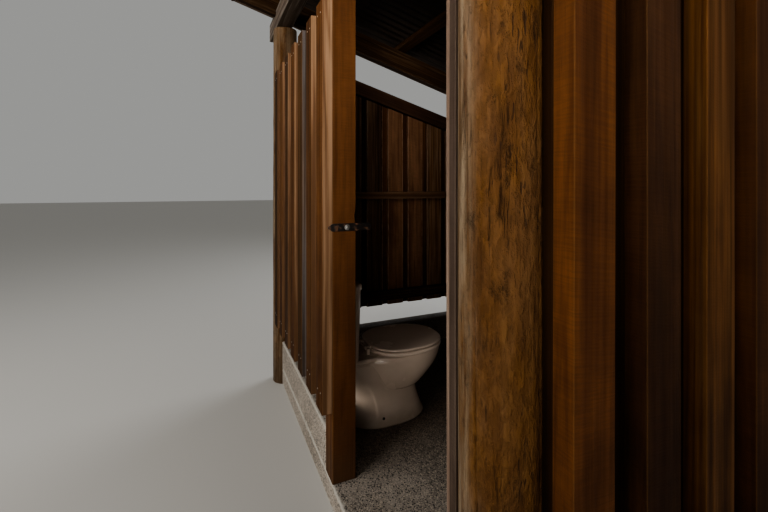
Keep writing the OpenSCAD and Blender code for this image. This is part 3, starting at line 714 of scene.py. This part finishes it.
def walls():
    """Battens and boards of each wall, with the end walls' tops cut to the roof's fall."""
    for side, along, seed in WALLS:
        low, high = corners("battens_" + side)
        first = low[along] if side == "low_side" else corners("boards_" + side)[0][along]
        plan = clad_plan(low[along], high[along], first, high[along])
        # The boards behind the battens carry painted shade and light: near-black in the grooves of
        # the near and doorway sides, a darker mid tone on the low side, and paler wood on the far
        # wall for the shade inside
        inside = {"far": "inner_timber_painted_light", "low_side": "dim_timber_painted_shade"}.get(side, "backing_timber_painted_shade")
        looks = "edged_timber" if along else "cladding_timber", inside
        for extra, (kind, rows, look) in enumerate(zip(("battens_", "boards_"), plan, looks)):
            timbers = []
            for start, end in rows:
                box = between(*corners(kind + side), along, start, end)
                if not along:
                    box[1][2] = under((start + end) / 2) - END_GAP
                timbers.append(timber(*box, 2, lean=0.0 if along else -DROP))
            bars(kind + side, timbers, look, seed + extra, arris=0.0014, stations=12,
                 shape=scribed if along else None)


def rails():
    for side, along, _ in WALLS:
        low, high = corners("rails_" + side)
        if along:
            head = timber(*between(low, high, 2, high[2] - HEAD_RAIL_H, high[2]), 1)
        else:
            head = sloping(low, high, -END_GAP - HEAD_RAIL_H, -END_GAP)
        foot = timber(*between(low, high, 2, low[2], low[2] + FOOT_RAIL_H), along)
        bars("rails_" + side, [foot, head], "rail_timber_painted_shade", 31 if along else 33)


def shelf():
    low, high = corners("shelf_cleats")
    bars("shelf", [timber(*corners("shelf"), 0)], "shelf_timber_painted_light", 41, made="plank", arris=0.003)
    bars("shelf_cleats", [timber(*between(low, high, 0, low[0], low[0] + CLEAT_W), 1),
                          timber(*between(low, high, 0, high[0] - CLEAT_W, high[0]), 1)],
         "shelf_timber_painted_light", 42)


def roof_frame():
    for node in ("beam_high", "beam_low"):
        bars(node, [timber(*corners(node), 1)], "beam_timber", 51, arris=0.003)
    box = corners("rafters")
    bars("rafters", [sloping(*between(*box, 1, y - RAFTER_T / 2, y + RAFTER_T / 2), 0, RAFTER_V)
                     for y in np.linspace(-POLE_Y, POLE_Y, RAFTER_COUNT)], "framing_timber_painted_shade", 52)
    low, high = corners("purlins")
    sides = ((0, high[1] - low[1], 0), (PURLIN_W * COS, 0, -PURLIN_W * SIN),
             (PURLIN_T * SIN, 0, PURLIN_T * COS), 0.0)
    bars("purlins", [(on_rafters(reach, low[1], PURLIN_T / 2 + SEAT_GAP), *sides)
                     for reach in PURLIN_PLACES], "framing_timber_painted_shade", 53)
    for node in ("fascia_high", "fascia_low"):
        bars(node, [timber(*corners(node), 1)], "trim_timber", 54)
    top = RAFTER_V + PURLIN_V - SEAT_GAP
    for node in ("barge_near", "barge_far"):
        bars(node, [sloping(*corners(node), top - TRIM_H, top)], "trim_timber", 55)


def door_post():
    """The post, with a chip out of its inner arris over the latch."""
    chip_z, chip_long, chip_deep, chip_reach = 1.185, 0.022, 0.0045, 0.008
    low, high = corners("door_post")

    def chipped(points):
        near = np.hypot(points[..., 0] - high[0], points[..., 1] - low[1]) < chip_reach
        bite = chip_deep * np.exp(-((points[..., 2] - chip_z) / chip_long) ** 2) * near
        points[..., 0] -= bite
        points[..., 1] += bite * 0.6
        return points

    bars("door_post", [timber(low, high, 2)], "post_timber", 63, arris=0.0035, stations=220,
         bow=0.0004, shape=chipped)


def door():
    low, high = corners("door_boards")
    edges = np.linspace(low[0], high[0], DOOR_BOARDS + 1)
    bars("door_boards", [timber(*between(low, high, 0, start + DOOR_EASE, end - DOOR_EASE), 2)
                         for start, end in zip(edges, edges[1:])],
         "door_timber", 71, body="door", arris=0.002)
    low, high = corners("door_frame")
    inner_low, inner_high = low[0] + STILE_W, high[0] - STILE_W
    stiles = [timber(*between(low, high, 0, start, end), 2)
              for start, end in ((low[0], inner_low), (inner_high, high[0]))]
    inner = between(low, high, 0, inner_low, inner_high)
    cross = [timber(*between(*inner, 2, z, z + DOOR_RAIL_H), 0)
             for z in np.linspace(low[2], high[2] - DOOR_RAIL_H, 3)]
    bars("door_frame", stiles + cross, "trim_timber", 76, body="door", arris=0.002)


def log(node, sides, rings, grey, seed):
    """A peeled log: r(angle, z) = R (1 - taper z) + slow waves + knots - drying checks.  It is
    grey by a share all round, as weathering, and fully on the side that looks away from the
    doorway's wall, as painted light on the side towards the lamps."""
    rng = np.random.default_rng(seed)
    low, high = corners(node)
    middle = (low + high) / 2
    angle, z = circle(sides)[None, :], np.linspace(low[2], high[2], rings)[:, None]

    def off(at):
        return np.angle(np.exp(1j * (angle - at))) * POLE_R

    taper, slow, knot, check, lit_side = 0.006, 0.0016, 0.0022, 0.0035, 2.55
    r = (POLE_R - slow) * (1 - taper * z)
    for turns in (2, 3, 5, 8, 13):
        phase, drift = rng.uniform(0, 2 * math.pi, 2)
        size = slow / turns ** 0.7
        r = r + size * np.sin(turns * angle + phase + 0.6 * np.sin(1.7 * z + drift))
    r = r + 0.0008 * np.sin(2.3 * z + rng.uniform(0, 6)) + 0.0004 * np.sin(7.1 * z)
    for _ in range(7):
        at, up, size = rng.uniform(0, 2 * math.pi), rng.uniform(0.3, 2.2), rng.uniform(0.6, 1.0)
        r = r + knot * size * np.exp(-np.hypot(off(at) / 0.020, (z - up) / 0.034) ** 2)
    for _ in range(9):
        at, up, reach = rng.uniform(0, 2 * math.pi), rng.uniform(0.2, 2.2), rng.uniform(0.15, 0.5)
        wander = off(at + 0.05 * np.sin(5 * z + at * 7))
        r = r - check * np.exp(-(wander / 0.0022) ** 2) * np.exp(-((z - up) / reach) ** 4)
    r = np.minimum(r, POLE_R + 0.0004)
    points = xyz(middle[0] + r * np.cos(angle), middle[1] + r * np.sin(angle), z)
    # Painted light: the grey is full on the side that faces the lamps
    grey_and_lit_share = grey + (1 - grey) * np.clip(np.cos(angle - lit_side), 0, 1) ** 2.2 + 0 * z
    skin(node + "_peeled", points, "log_timber", solid=node, crease=60, weathered=grey_and_lit_share.ravel())


def logs():
    log("pole_near_door_side", 300, 260, 0.0, 5)
    for seed, node in enumerate(("pole_far_door_side", "pole_near_low_side", "pole_far_low_side")):
        log(node, 140, 120, 0.5, 6 + seed)


# ---- concrete and roof sheet
def concrete():
    bars("floor_slab", [timber(*corners("floor_slab"), 1)], "concrete_ground", 81, made="cast",
         arris=0.006, bow=0.0)
    for node, along in (("kerb_far", 0), ("kerb_near", 0), ("kerb_door_side", 1),
                        ("kerb_low_side", 1)):
        bars(node, [timber(*corners(node), along)], "concrete_ground", 82, made="cast", arris=0.007)


def roof_sheets(columns=10, rows=14):
    """Corrugated sheets that lap sideways, each so many waves wide:
    z = plane(x) + (h (1 - cos(2 pi y / w)) / 2 + lift) / cos(fall)."""
    x = np.linspace(ROOF_LOW[0], ROOF_HIGH[0], rows)[:, None]
    for i, first in enumerate(range(0, WAVES, SHEET_COVER)):
        last = first + SHEET_COVER
        last = min(last + SHEET_LAP if last < WAVES else last, WAVES)
        wave = np.linspace(first, last, int((last - first) * columns) + 1)[None, :]
        y = ROOF_LOW[1] + WAVE * wave
        rise = WAVE_H * (1 - np.cos(2 * math.pi * (y - ROOF_LOW[1]) / WAVE)) / 2
        lift = SHEET_LIFT * (i % 2)
        top = under(x) + (RAFTER_D + PURLIN_T + 2 * SEAT_GAP + rise + lift + SHEET_T) / COS
        ring = np.concatenate([xyz(x, y, top), xyz(x, y, top - SHEET_T / COS)[:, ::-1]], 1)
        skin(f"roof_sheet_{i + 1}", ring[:, ::-1], "roof_metal", crease=50,
             solid=None if i else "roof_sheet")


# ---- fastenings
def studs(name, places, normal, radius, height, look, sides=10, body="root", washer=0.0):
    """Domed heads, joined in one mesh: rings that draw in as they rise, over each place."""
    normal = np.asarray(normal, float) / np.linalg.norm(normal)
    sunk, washer_h = 0.001, 0.0012
    profile = [(radius, -sunk), (radius, height * 0.35), (radius * 0.82, height * 0.8),
               (radius * 0.4, height)]
    if washer:
        profile = [(washer, -sunk), (washer, washer_h), (radius, 0.0014)] + profile[1:]
    r, h = np.array(profile).T[..., None, None]
    head = r * around(normal, (0.31, 0.95, 0.05), sides) + h * normal
    faces = sum((tube(len(r), sides, i * len(r) * sides) for i in range(len(places))), [])
    piece(name, np.asarray(places, float)[:, None, None] + head, faces, look, body=body, crease=35)


def nails():
    """Two heads at each rail on the outside of every batten."""
    for side, along, _ in WALLS:
        low, high = corners("battens_" + side)
        foot = corners("rails_" + side)[0][2] + FOOT_RAIL_H / 2
        face, outer = 1 - along, side in ("low_side", "far")
        places = []
        for start, end in clad_plan(low[along], high[along])[0]:
            middle = (start + end) / 2
            head = (high[2] if along else under(middle) - END_GAP) - HEAD_RAIL_H / 2
            for across in (-NAIL_OFF, NAIL_OFF):
                for z in (foot, head if along else head - DROP * across):
                    place = np.zeros(3)
                    place[along], place[2] = middle + across, z
                    place[face] = high[face] + SEAT_GAP if outer else low[face] - SEAT_GAP
                    places.append(place)
        normal = np.eye(3)[face] * (1 if outer else -1)
        studs(f"nails_{side}", places, normal, NAIL_R, NAIL_H, "zinc_head")


def roof_screws():
    sheets = 0.0026  # two sheets' thickness where they lap
    up = PURLIN_T + 2 * SEAT_GAP + WAVE_H + sheets
    places = [on_rafters(reach, ROOF_LOW[1] + WAVE * (k + 0.5), up)
              for reach in PURLIN_PLACES for k in range(1, WAVES, 3)]
    studs("roof_screws", places, (SIN, 0, COS), 0.0055, 0.006, "zinc_head", sides=6, washer=0.010)


# ---- toilet
(WC_BACK, cistern_y, _), (_, cistern_end, _) = corners("cistern")
WC_Y = (cistern_y + cistern_end) / 2
FLOOR_Z, RIM_Z = (corner[2] for corner in corners("toilet_pan"))
PAN_AXIS, PAN_H = 0.380, 0.360  # the outline's axis from the pan's back, and its height
LEDGE, RECESS = 0.009, 0.024  # at the bowl's crease and behind the trap
BLEND = 0.003  # k, where the bowl meets the pedestal
# Rings of the pan: height, back, front, half width and squareness
PEDESTAL = [[0.000, .134, .556, .132, 2.3], [0.006, .130, .560, .136, 2.3],
            [0.014, .130, .559, .135, 2.3], [0.024, .131, .553, .132, 2.4],
            [0.070, .130, .530, .126, 2.7], [0.130, .126, .508, .121, 3.0],
            [0.200, .118, .492, .119, 3.2], [0.270, .095, .470, .120, 3.6],
            [0.318, .057, .440, .123, 4.2], [0.334, .046, .430, .125, 4.6],
            [0.340, .034, .422, .136, 4.8], [0.348, .030, .420, .138, 4.8],
            [0.355, .031, .419, .1375, 4.8], [0.360, .036, .415, .134, 4.8]]
BOWL = [[0.158, .330, .440, .085, 2.0], [0.166, .300, .490, .106, 2.0],
        [0.176, .270, .520, .121, 2.1], [0.186, .252, .537, .134, 2.1],
        [0.204, .236, .560, .144, 2.15], [0.236, .222, .594, .155, 2.2],
        [0.270, .205, .624, .164, 2.25], [0.310, .180, .645, .172, 2.3],
        [0.335, .162, .653, .176, 2.3], [0.348, .170, .655, .176, 2.3],
        [0.356, .170, .654, .175, 2.3], [0.360, .174, .650, .170, 2.3]]
HOLLOW = [[0.190, .350, .480, .040, 2.0], [0.197, .320, .510, .066, 2.0],
          [0.218, .290, .548, .096, 2.1], [0.250, .265, .584, .120, 2.2],
          [0.300, .245, .612, .134, 2.3], [0.332, .238, .620, .140, 2.3],
          [0.341, .240, .616, .134, 2.3], [0.354, .240, .616, .134, 2.3],
          [0.360, .236, .620, .138, 2.3]]


def egg(back, front, half, square, count):
    """An egg-shaped outline: |x / a|^p + |y / b|^p = 1, with one a before its widest place and
    another behind."""
    turn = circle(count)
    middle = back + 0.45 * (front - back)
    cos, sin = np.cos(turn), np.sin(turn)
    reach = np.where(cos > 0, front - middle, middle - back)
    return np.stack([middle + reach * np.sign(cos) * np.abs(cos) ** (2 / square),
                     half * np.sign(sin) * np.abs(sin) ** (2 / square)], -1)


def smooth_rows(rows, heights):
    """The rings' values at other heights, by a cubic through them."""
    rows = np.array(rows, float)
    z, values = rows[:, 0], rows[:, 1:]
    slope = np.gradient(values, z, axis=0)
    i = np.clip(np.searchsorted(z, heights, side="right") - 1, 0, len(z) - 2)
    step = (z[i + 1] - z[i])[:, None]
    t = np.clip((heights - z[i])[:, None] / step, 0, 1)
    return ((2 * t ** 3 - 3 * t ** 2 + 1) * values[i] + (t ** 3 - 2 * t ** 2 + t) * step * slope[i]
            + (3 * t ** 2 - 2 * t ** 3) * values[i + 1] + (t ** 3 - t ** 2) * step * slope[i + 1])


def polar(rows, heights, turn):
    """Radius of each ring's outline from the pan's axis, at even angles."""
    found = []
    for ring in smooth_rows(rows, heights):
        line = egg(*ring, 720) - (PAN_AXIS, 0)
        angle = np.mod(np.arctan2(line[:, 1], line[:, 0]), 2 * math.pi)
        order = np.argsort(angle)
        found.append(np.interp(turn, angle[order], np.hypot(*line.T)[order], period=2 * math.pi))
    return np.array(found)


def held(value, full):
    """0 to 1 as the value goes from 0 to full, and held there."""
    return np.clip(value / full, 0, 1)


def toilet_pan(sides=300):
    """Pedestal and bowl as one skin about an upright axis: r = max(pedestal, bowl), blended
    over k where they meet by r = (p + b + sqrt((p - b)^2 + k^2)) / 2, then over the rim and
    down the hollow."""
    turn = circle(sides)
    outside, inside = (np.concatenate([np.linspace(*span) for span in spans]) for spans in (
        ((0, 0.03, 9), (0.036, 0.325, 98), (0.328, 0.345, 10), (0.347, PAN_H, 9)),
        ((PAN_H, 0.345, 7), (0.340, 0.202, 34), (0.199, 0.190, 5))))
    bowl_foot = BOWL[0][0]
    pedestal = polar(PEDESTAL, outside, turn)
    bowl = polar(BOWL, np.maximum(outside, bowl_foot), turn)
    bowl[outside < bowl_foot] = 0.02
    blend = BLEND * np.clip((outside - 0.14) / 0.03, 0.05, 1)[:, None]
    blend = blend * np.clip((0.352 - outside) / 0.02, 0.15, 1)[:, None]
    radius = (pedestal + bowl + np.sqrt((pedestal - bowl) ** 2 + blend ** 2)) / 2
    # A ledge where the bowl leaves the pedestal, dying out over the bowl and under the deck
    apart = np.maximum(bowl - pedestal, 0)
    step = held(apart, 0.005)
    radius += (LEDGE * step ** 2 * (3 - 2 * step) * np.exp(-apart / 0.030)
               * held(0.345 - outside, 0.03)[:, None])
    radius = np.concatenate([radius, polar(HOLLOW, inside, turn)])
    up = np.concatenate([outside, inside])[:, None]
    # The outline of the trap stands out from the side of the pedestal, behind a curved line
    x = PAN_AXIS + radius * np.cos(turn)
    line = 0.243 - 1.9 * np.maximum(up - 0.06, 0) ** 2
    below = held(0.33 - up, 0.06) * held(up - 0.015, 0.05)
    behind = 1 / (1 + np.exp(np.clip((x - line) / 0.003, -40, 40)))
    skirt = np.arange(len(up))[:, None] < len(outside)
    radius = radius - RECESS * behind * below * np.abs(np.sin(turn)) ** 1.5 * skirt
    scale = (RIM_Z - FLOOR_Z) / PAN_H
    points = xyz(WC_BACK + scale * (PAN_AXIS + radius * np.cos(turn)),
                 WC_Y + scale * radius * np.sin(turn), FLOOR_Z + scale * up)
    skin("toilet_pan_glazed", points, "glazed_china", solid="toilet_pan", crease=50)


def quarter(count):
    """1 - cos and 1 - sin over a quarter turn."""
    return [(1 - math.cos(t), 1 - math.sin(t)) for t in np.linspace(0, math.pi / 2, count)]


def rolled(low_z, high_z, low_r, high_r, draw=0.0, count=6):
    """Rows (z, inset) of a block with rounded lower and upper edges, whose sides draw in."""
    return ([(low_z + low_r * up, draw + low_r * side) for up, side in quarter(count)]
            + [(high_z - high_r * side, high_r * up) for up, side in quarter(count)])


def ring_stack(profile, outline, count):
    """Rings from rows of (z, inset): the outline is egg(...) drawn in by each inset."""
    back, front, half, square = outline
    return [np.insert(egg(back + inset, front - inset, half - inset, square, count) + (0, WC_Y),
                      2, z, 1) for z, inset in profile]


def seat_and_lid(count=160):
    low, high = corners("toilet_seat")
    base, top, round_r, square = low[2], high[2], 0.009, 2.4
    back, front, half = low[0], high[0], (high[1] - low[1]) / 2
    hole = back + 0.065, front - 0.078, 0.105, 2.2
    outer = rolled(base, top, 0.006, round_r, count=5)
    inner = [(top - 0.0005 - round_r * up, -round_r * side) for up, side in quarter(5)]
    inner += [(base + 0.004, 0.0), (base, -0.003)]
    rings = (ring_stack(outer, (back, front, half, square), count)
             + ring_stack(inner, hole, count))
    skin("toilet_seat_moulded", rings, "seat_gloss", caps=False, solid="toilet_seat", crease=50)

    # The lid: a rolled edge under a low dome, z = z0 + h (1 - (r / R)^2)
    low, lid_high = corners("toilet_lid")
    over_seat, lip, dome, steps = 0.005, 0.007, 0.003, 8
    base, top = high[2] + over_seat, lid_high[2]
    front, half = lid_high[0], (lid_high[1] - low[1]) / 2
    profile = rolled(base, top - dome, lip, lip, count=5)
    profile += [(top - dome * (1 - i / steps) ** 2, lip + i / steps * 0.15)
                for i in range(1, steps + 1)]
    skin("toilet_lid_moulded", ring_stack(profile, (back, front, half, square), count),
         "seat_gloss", body="lid", solid="toilet_lid", crease=60)
    eye, lug_w = 0.0093, 0.011
    pin_x, pin_z = low[0] + eye, top - 0.016 - 0.0025
    turn = np.linspace(-math.pi / 2, math.pi / 2, 12)
    outline = np.concatenate([
        np.stack([pin_x - eye * np.cos(turn), pin_z + eye * np.sin(turn)], -1),
        [(back + 0.008, pin_z + eye - 0.001), (back + 0.008, pin_z - eye + 0.008)]])
    for side, middle in (("left", -0.048), ("right", 0.048)):
        ring = [xyz(outline[:, 0], WC_Y + middle + y, pin_z + (outline[:, 1] - pin_z) * size)[::-1]
                for y, size in ((-lug_w, 0.9), (-0.0095, 1), (0.0095, 1), (lug_w, 0.9))]
        skin(f"lid_lug_{side}", ring, "seat_gloss", body="lid", crease=35)


def plate(name, low, high, corner, profile, look, segments=9, **rest):
    """A block with rounded upright corners: the plan low..high drawn in by each (z, inset) row."""
    turn, side_x, side_y = rounded(segments)
    middle, half = (np.array(low) + high)[:2] / 2, (np.array(high) - low)[:2] / 2
    rings = []
    for z, inset in profile:
        r = max(corner - inset, 0.0005)
        rings.append(xyz(middle[0] + side_x * (half[0] - inset - r) + r * np.cos(turn),
                         middle[1] + side_y * (half[1] - inset - r) + r * np.sin(turn), z))
    skin(name, rings, look, **rest)


def cistern():
    low, high = corners("cistern")
    plate("cistern_glazed", low, high, 0.028, rolled(low[2], high[2], 0.012, 0.003, draw=0.010),
          "glazed_china", solid="cistern", crease=50)
    low, high = corners("cistern_lid")
    plate("cistern_lid_glazed", low, high, 0.034,
          rolled(low[2], high[2], 0.003, 0.012) + [(high[2], 0.03)], "glazed_china",
          solid="cistern_lid", crease=50)


def buttons():
    """Two half-round buttons: a half circle drawn in as it rises."""
    low, high = corners("flush_button")
    middle, radius = (low + high) / 2, (high[0] - low[0]) / 2
    turn = np.linspace(0, math.pi, 24)
    profile = rolled(low[2], high[2], 0.0003, 0.002)
    points = [xyz(middle[0] + (radius - inset) * np.cos(turn),
                  middle[1] + side * (0.0006 + inset + (radius - inset - inset) * np.sin(turn)),
                  z)[::side] for side in (-1, 1) for z, inset in profile]
    faces = sum((tube(len(profile), turn.size, k * len(profile) * turn.size) for k in (0, 1)), [])
    piece("flush_buttons", points, faces, "button_chrome", solid="flush_button", crease=35)


def rod(name, start, end, radius, look, sides=24, **rest):
    """A round rod with eased ends."""
    start, end = np.array(start, float), np.array(end, float)
    length = np.linalg.norm(end - start)
    along, ease = (end - start) / length, radius * 0.2
    way = around(along, (0.31, 0.17, 0.93), sides)
    rows = [(0, radius - ease), (ease, radius), (length - ease, radius), (length, radius - ease)]
    skin(name, [start + s * along + r * way for s, r in rows], look, crease=35, **rest)


def toilet_fittings():
    low, high = corners("seat_hinge")
    post, pin_in = 0.018, 0.009
    pin_x, pin_z = (low[0] + high[0]) / 2, high[2] - pin_in
    for side, y, solid in (("left", low[1], "seat_hinge"), ("right", high[1] - post, None)):
        plate(f"seat_hinge_post_{side}", (low[0], y, 0), (high[0], y + post, 0), 0.005,
              rolled(low[2], high[2], 0.001, 0.004), "seat_gloss", crease=40, solid=solid)
    rod("seat_hinge_pin", (pin_x, low[1] + pin_in, pin_z), (pin_x, high[1] - pin_in, pin_z), 0.005,
        "seat_gloss")
    bolt_x, bolt_y, bolt_z = WC_BACK + 0.281, 0.1245, FLOOR_Z + 0.045
    for name, side in (("left", -1), ("right", 1)):
        studs(f"pan_bolt_cap_{name}", [(bolt_x, WC_Y + side * bolt_y, bolt_z)], (0, side, 0.12),
              radius=0.0075, height=0.006, look="dark_iron", sides=18)


# ---- ironwork
PIN = np.array(next(j for j in frame["joints"] if j["name"] == "door_hinge")["pos_m"][:2])


def strap_feet(node):
    """Name and foot of the lower and the upper strap, and the node that the lower's stands for."""
    low, high = corners("door_straps")
    return ("lower", low[2], node), ("upper", high[2] - STRAP_W, None)


def straps():
    """Hinge straps: a flat bar with a rounded end, rolled into an eye round its pin."""
    low, high = corners("door_straps")
    hole, turn = PIN_R + SEAT_GAP, circle(28)
    for name, z, solid in strap_feet("door_straps"):
        plate(f"strap_{name}_flat", (PIN[0], low[1], 0), (high[0], low[1] + STRAP_T, 0), 0.0012,
              rolled(z, z + STRAP_W, 0.001, 0.001), "dark_iron", body="door", segments=3,
              crease=35, solid=solid)
        rows = ((hole + STRAP_T, z), (hole + STRAP_T, z + STRAP_W), (hole, z + STRAP_W), (hole, z))
        skin(f"strap_{name}_eye",
             [xyz(PIN[0] + r * np.cos(turn), PIN[1] + r * np.sin(turn), up) for r, up in rows],
             "dark_iron", caps=False, body="door", crease=35)
        places = [(PIN[0] + x, low[1], z + STRAP_W / 2) for x in (0.05, 0.15, 0.25)]
        studs(f"strap_{name}_bolts", places, (0, -1, 0), 0.007, 0.004, "dark_iron", sides=14,
              body="door")


def pins():
    low, _ = corners("hinge_pins")
    drop, rise, arm_r = 0.020, 0.005, 0.004
    for name, z, solid in strap_feet("hinge_pins"):
        rod(f"hinge_pin_{name}", (*PIN, z - drop), (*PIN, z + STRAP_W + rise), PIN_R, "dark_iron",
            solid=solid)
        arm = z - drop + PIN_R
        rod(f"hinge_arm_{name}", (*PIN, arm), (PIN[0], low[1] - arm_r, arm), arm_r, "dark_iron")


def latch():
    """The latch bar: a pointed outline with its arrises eased, on a pale bolt."""
    low, high = corners("latch_bar")
    middle, half = (low[2] + high[2]) / 2, (high[2] - low[2]) / 2
    point, tail, blunt, bolt_x = low[0] + half * 1.2, half * 0.35, 0.003, -0.840
    turn = np.linspace(-math.pi / 2, math.pi / 2, 7)
    round_end = np.stack([high[0] - tail + tail * np.cos(turn), half * np.sin(turn)], -1)
    outline = np.concatenate([[(low[0], -blunt), (point, -half)], round_end,
                              [(point, half), (low[0], blunt)]])
    centre = outline.mean(0)
    rings = []
    for y, inset in ((high[1], 0.0008), (high[1] - 0.0008, 0.0), (low[1] + 0.0012, 0.0),
                     (low[1], 0.0012)):
        drawn = centre + (outline - centre) * (1 - inset / half)
        rings.append(xyz(drawn[:, 0], y, middle + drawn[:, 1]))
    skin("latch_bar_forged", rings, "dark_iron", solid="latch_bar", crease=35)
    studs("latch_bolt", [(bolt_x, low[1], middle)], (0, -1, 0), 0.0085, 0.006, "zinc_head",
          sides=20, washer=0.0115)


# ---- studio
EYE, EYE_TURN = (-1.370, -1.700, 1.304), 23.85  # the point of view, turned right of +Y
LENS, SENSOR, SHIFT = 18.98, 36.0, -0.0898
# Name, place, aim, size, power, colour and beam of each light
LIGHTS = (
    ("sky_left", (-4.9, 0.0, 3.4), (-0.6, 0.0, 1.0), 3.0, 60, (1.0, 0.97, 0.92), 180),
    ("front_left", (-6.6, -3.3, 2.6), (-0.7, -0.9, 1.1), 2.2, 185, (1.0, 0.95, 0.88), 180),
    ("front", (-2.6, -3.8, 1.9), (0.2, 1.15, 2.1), 1.3, 8, (1.0, 0.93, 0.84), 38),
    ("low", (-3.2, -3.4, 0.45), (-0.5, 0.1, 0.25), 1.2, 1.8, (1.0, 0.93, 0.86), 70),
    ("front_right", (1.2, -5.4, 3.0), (0.0, -1.0, 1.1), 3.0, 40, (1.0, 0.96, 0.92), 180),
    ("back_fill", (4.4, 3.6, 3.8), (0.0, 0.0, 1.0), 3.4, 170, (0.94, 0.97, 1.0), 180))


def studio():
    data = bpy.data.cameras.new("camera")
    data.lens, data.sensor_width, data.shift_y = LENS, SENSOR, SHIFT
    data.clip_start = 0.02
    camera = placed("camera", data, EYE)
    camera.rotation_euler = (math.radians(90), 0, math.radians(-EYE_TURN))
    bpy.context.scene.camera = camera
    for name, place, aim, size, power, colour, beam in LIGHTS:
        data = bpy.data.lights.new(name, "AREA")
        data.spread = math.radians(beam)
        data.shape, data.size, data.energy, data.color = "DISK", size, power, colour
        light = placed(name, data, place)
        away = light.location - type(light.location)(aim)
        light.rotation_euler = away.to_track_quat("Z", "Y").to_euler()
        light.visible_camera = False
    bpy.context.scene.view_settings.look = "AgX - Medium High Contrast"
    world = bpy.data.worlds.new("studio")
    world.use_nodes = True
    backdrop = world.node_tree.nodes["Background"].inputs
    backdrop[0].default_value, backdrop[1].default_value = (0.66, 0.66, 0.64, 1), 0.46
    bpy.context.scene.world = world
    mesh = bpy.data.meshes.new("studio_floor")
    reach = 40.0
    mesh.from_pydata([(x * reach, y * reach, 0) for x, y in ((-1, -1), (1, -1), (1, 1), (-1, 1))],
                     [], [(0, 1, 2, 3)])
    paper = bpy.data.materials.new("studio_paper")
    paper.use_nodes = True
    shaded = paper.node_tree.nodes["Principled BSDF"].inputs
    shaded["Base Color"].default_value = (0.52, 0.505, 0.48, 1)
    shaded["Roughness"].default_value = 0.9
    mesh.materials.append(paper)
    placed("studio_floor", mesh)


for make in (studio, concrete, logs, door_post, walls, rails, shelf, roof_frame, roof_sheets, door,
             nails, roof_screws, toilet_pan, seat_and_lid, cistern, buttons, toilet_fittings,
             straps, pins, latch):
    make()
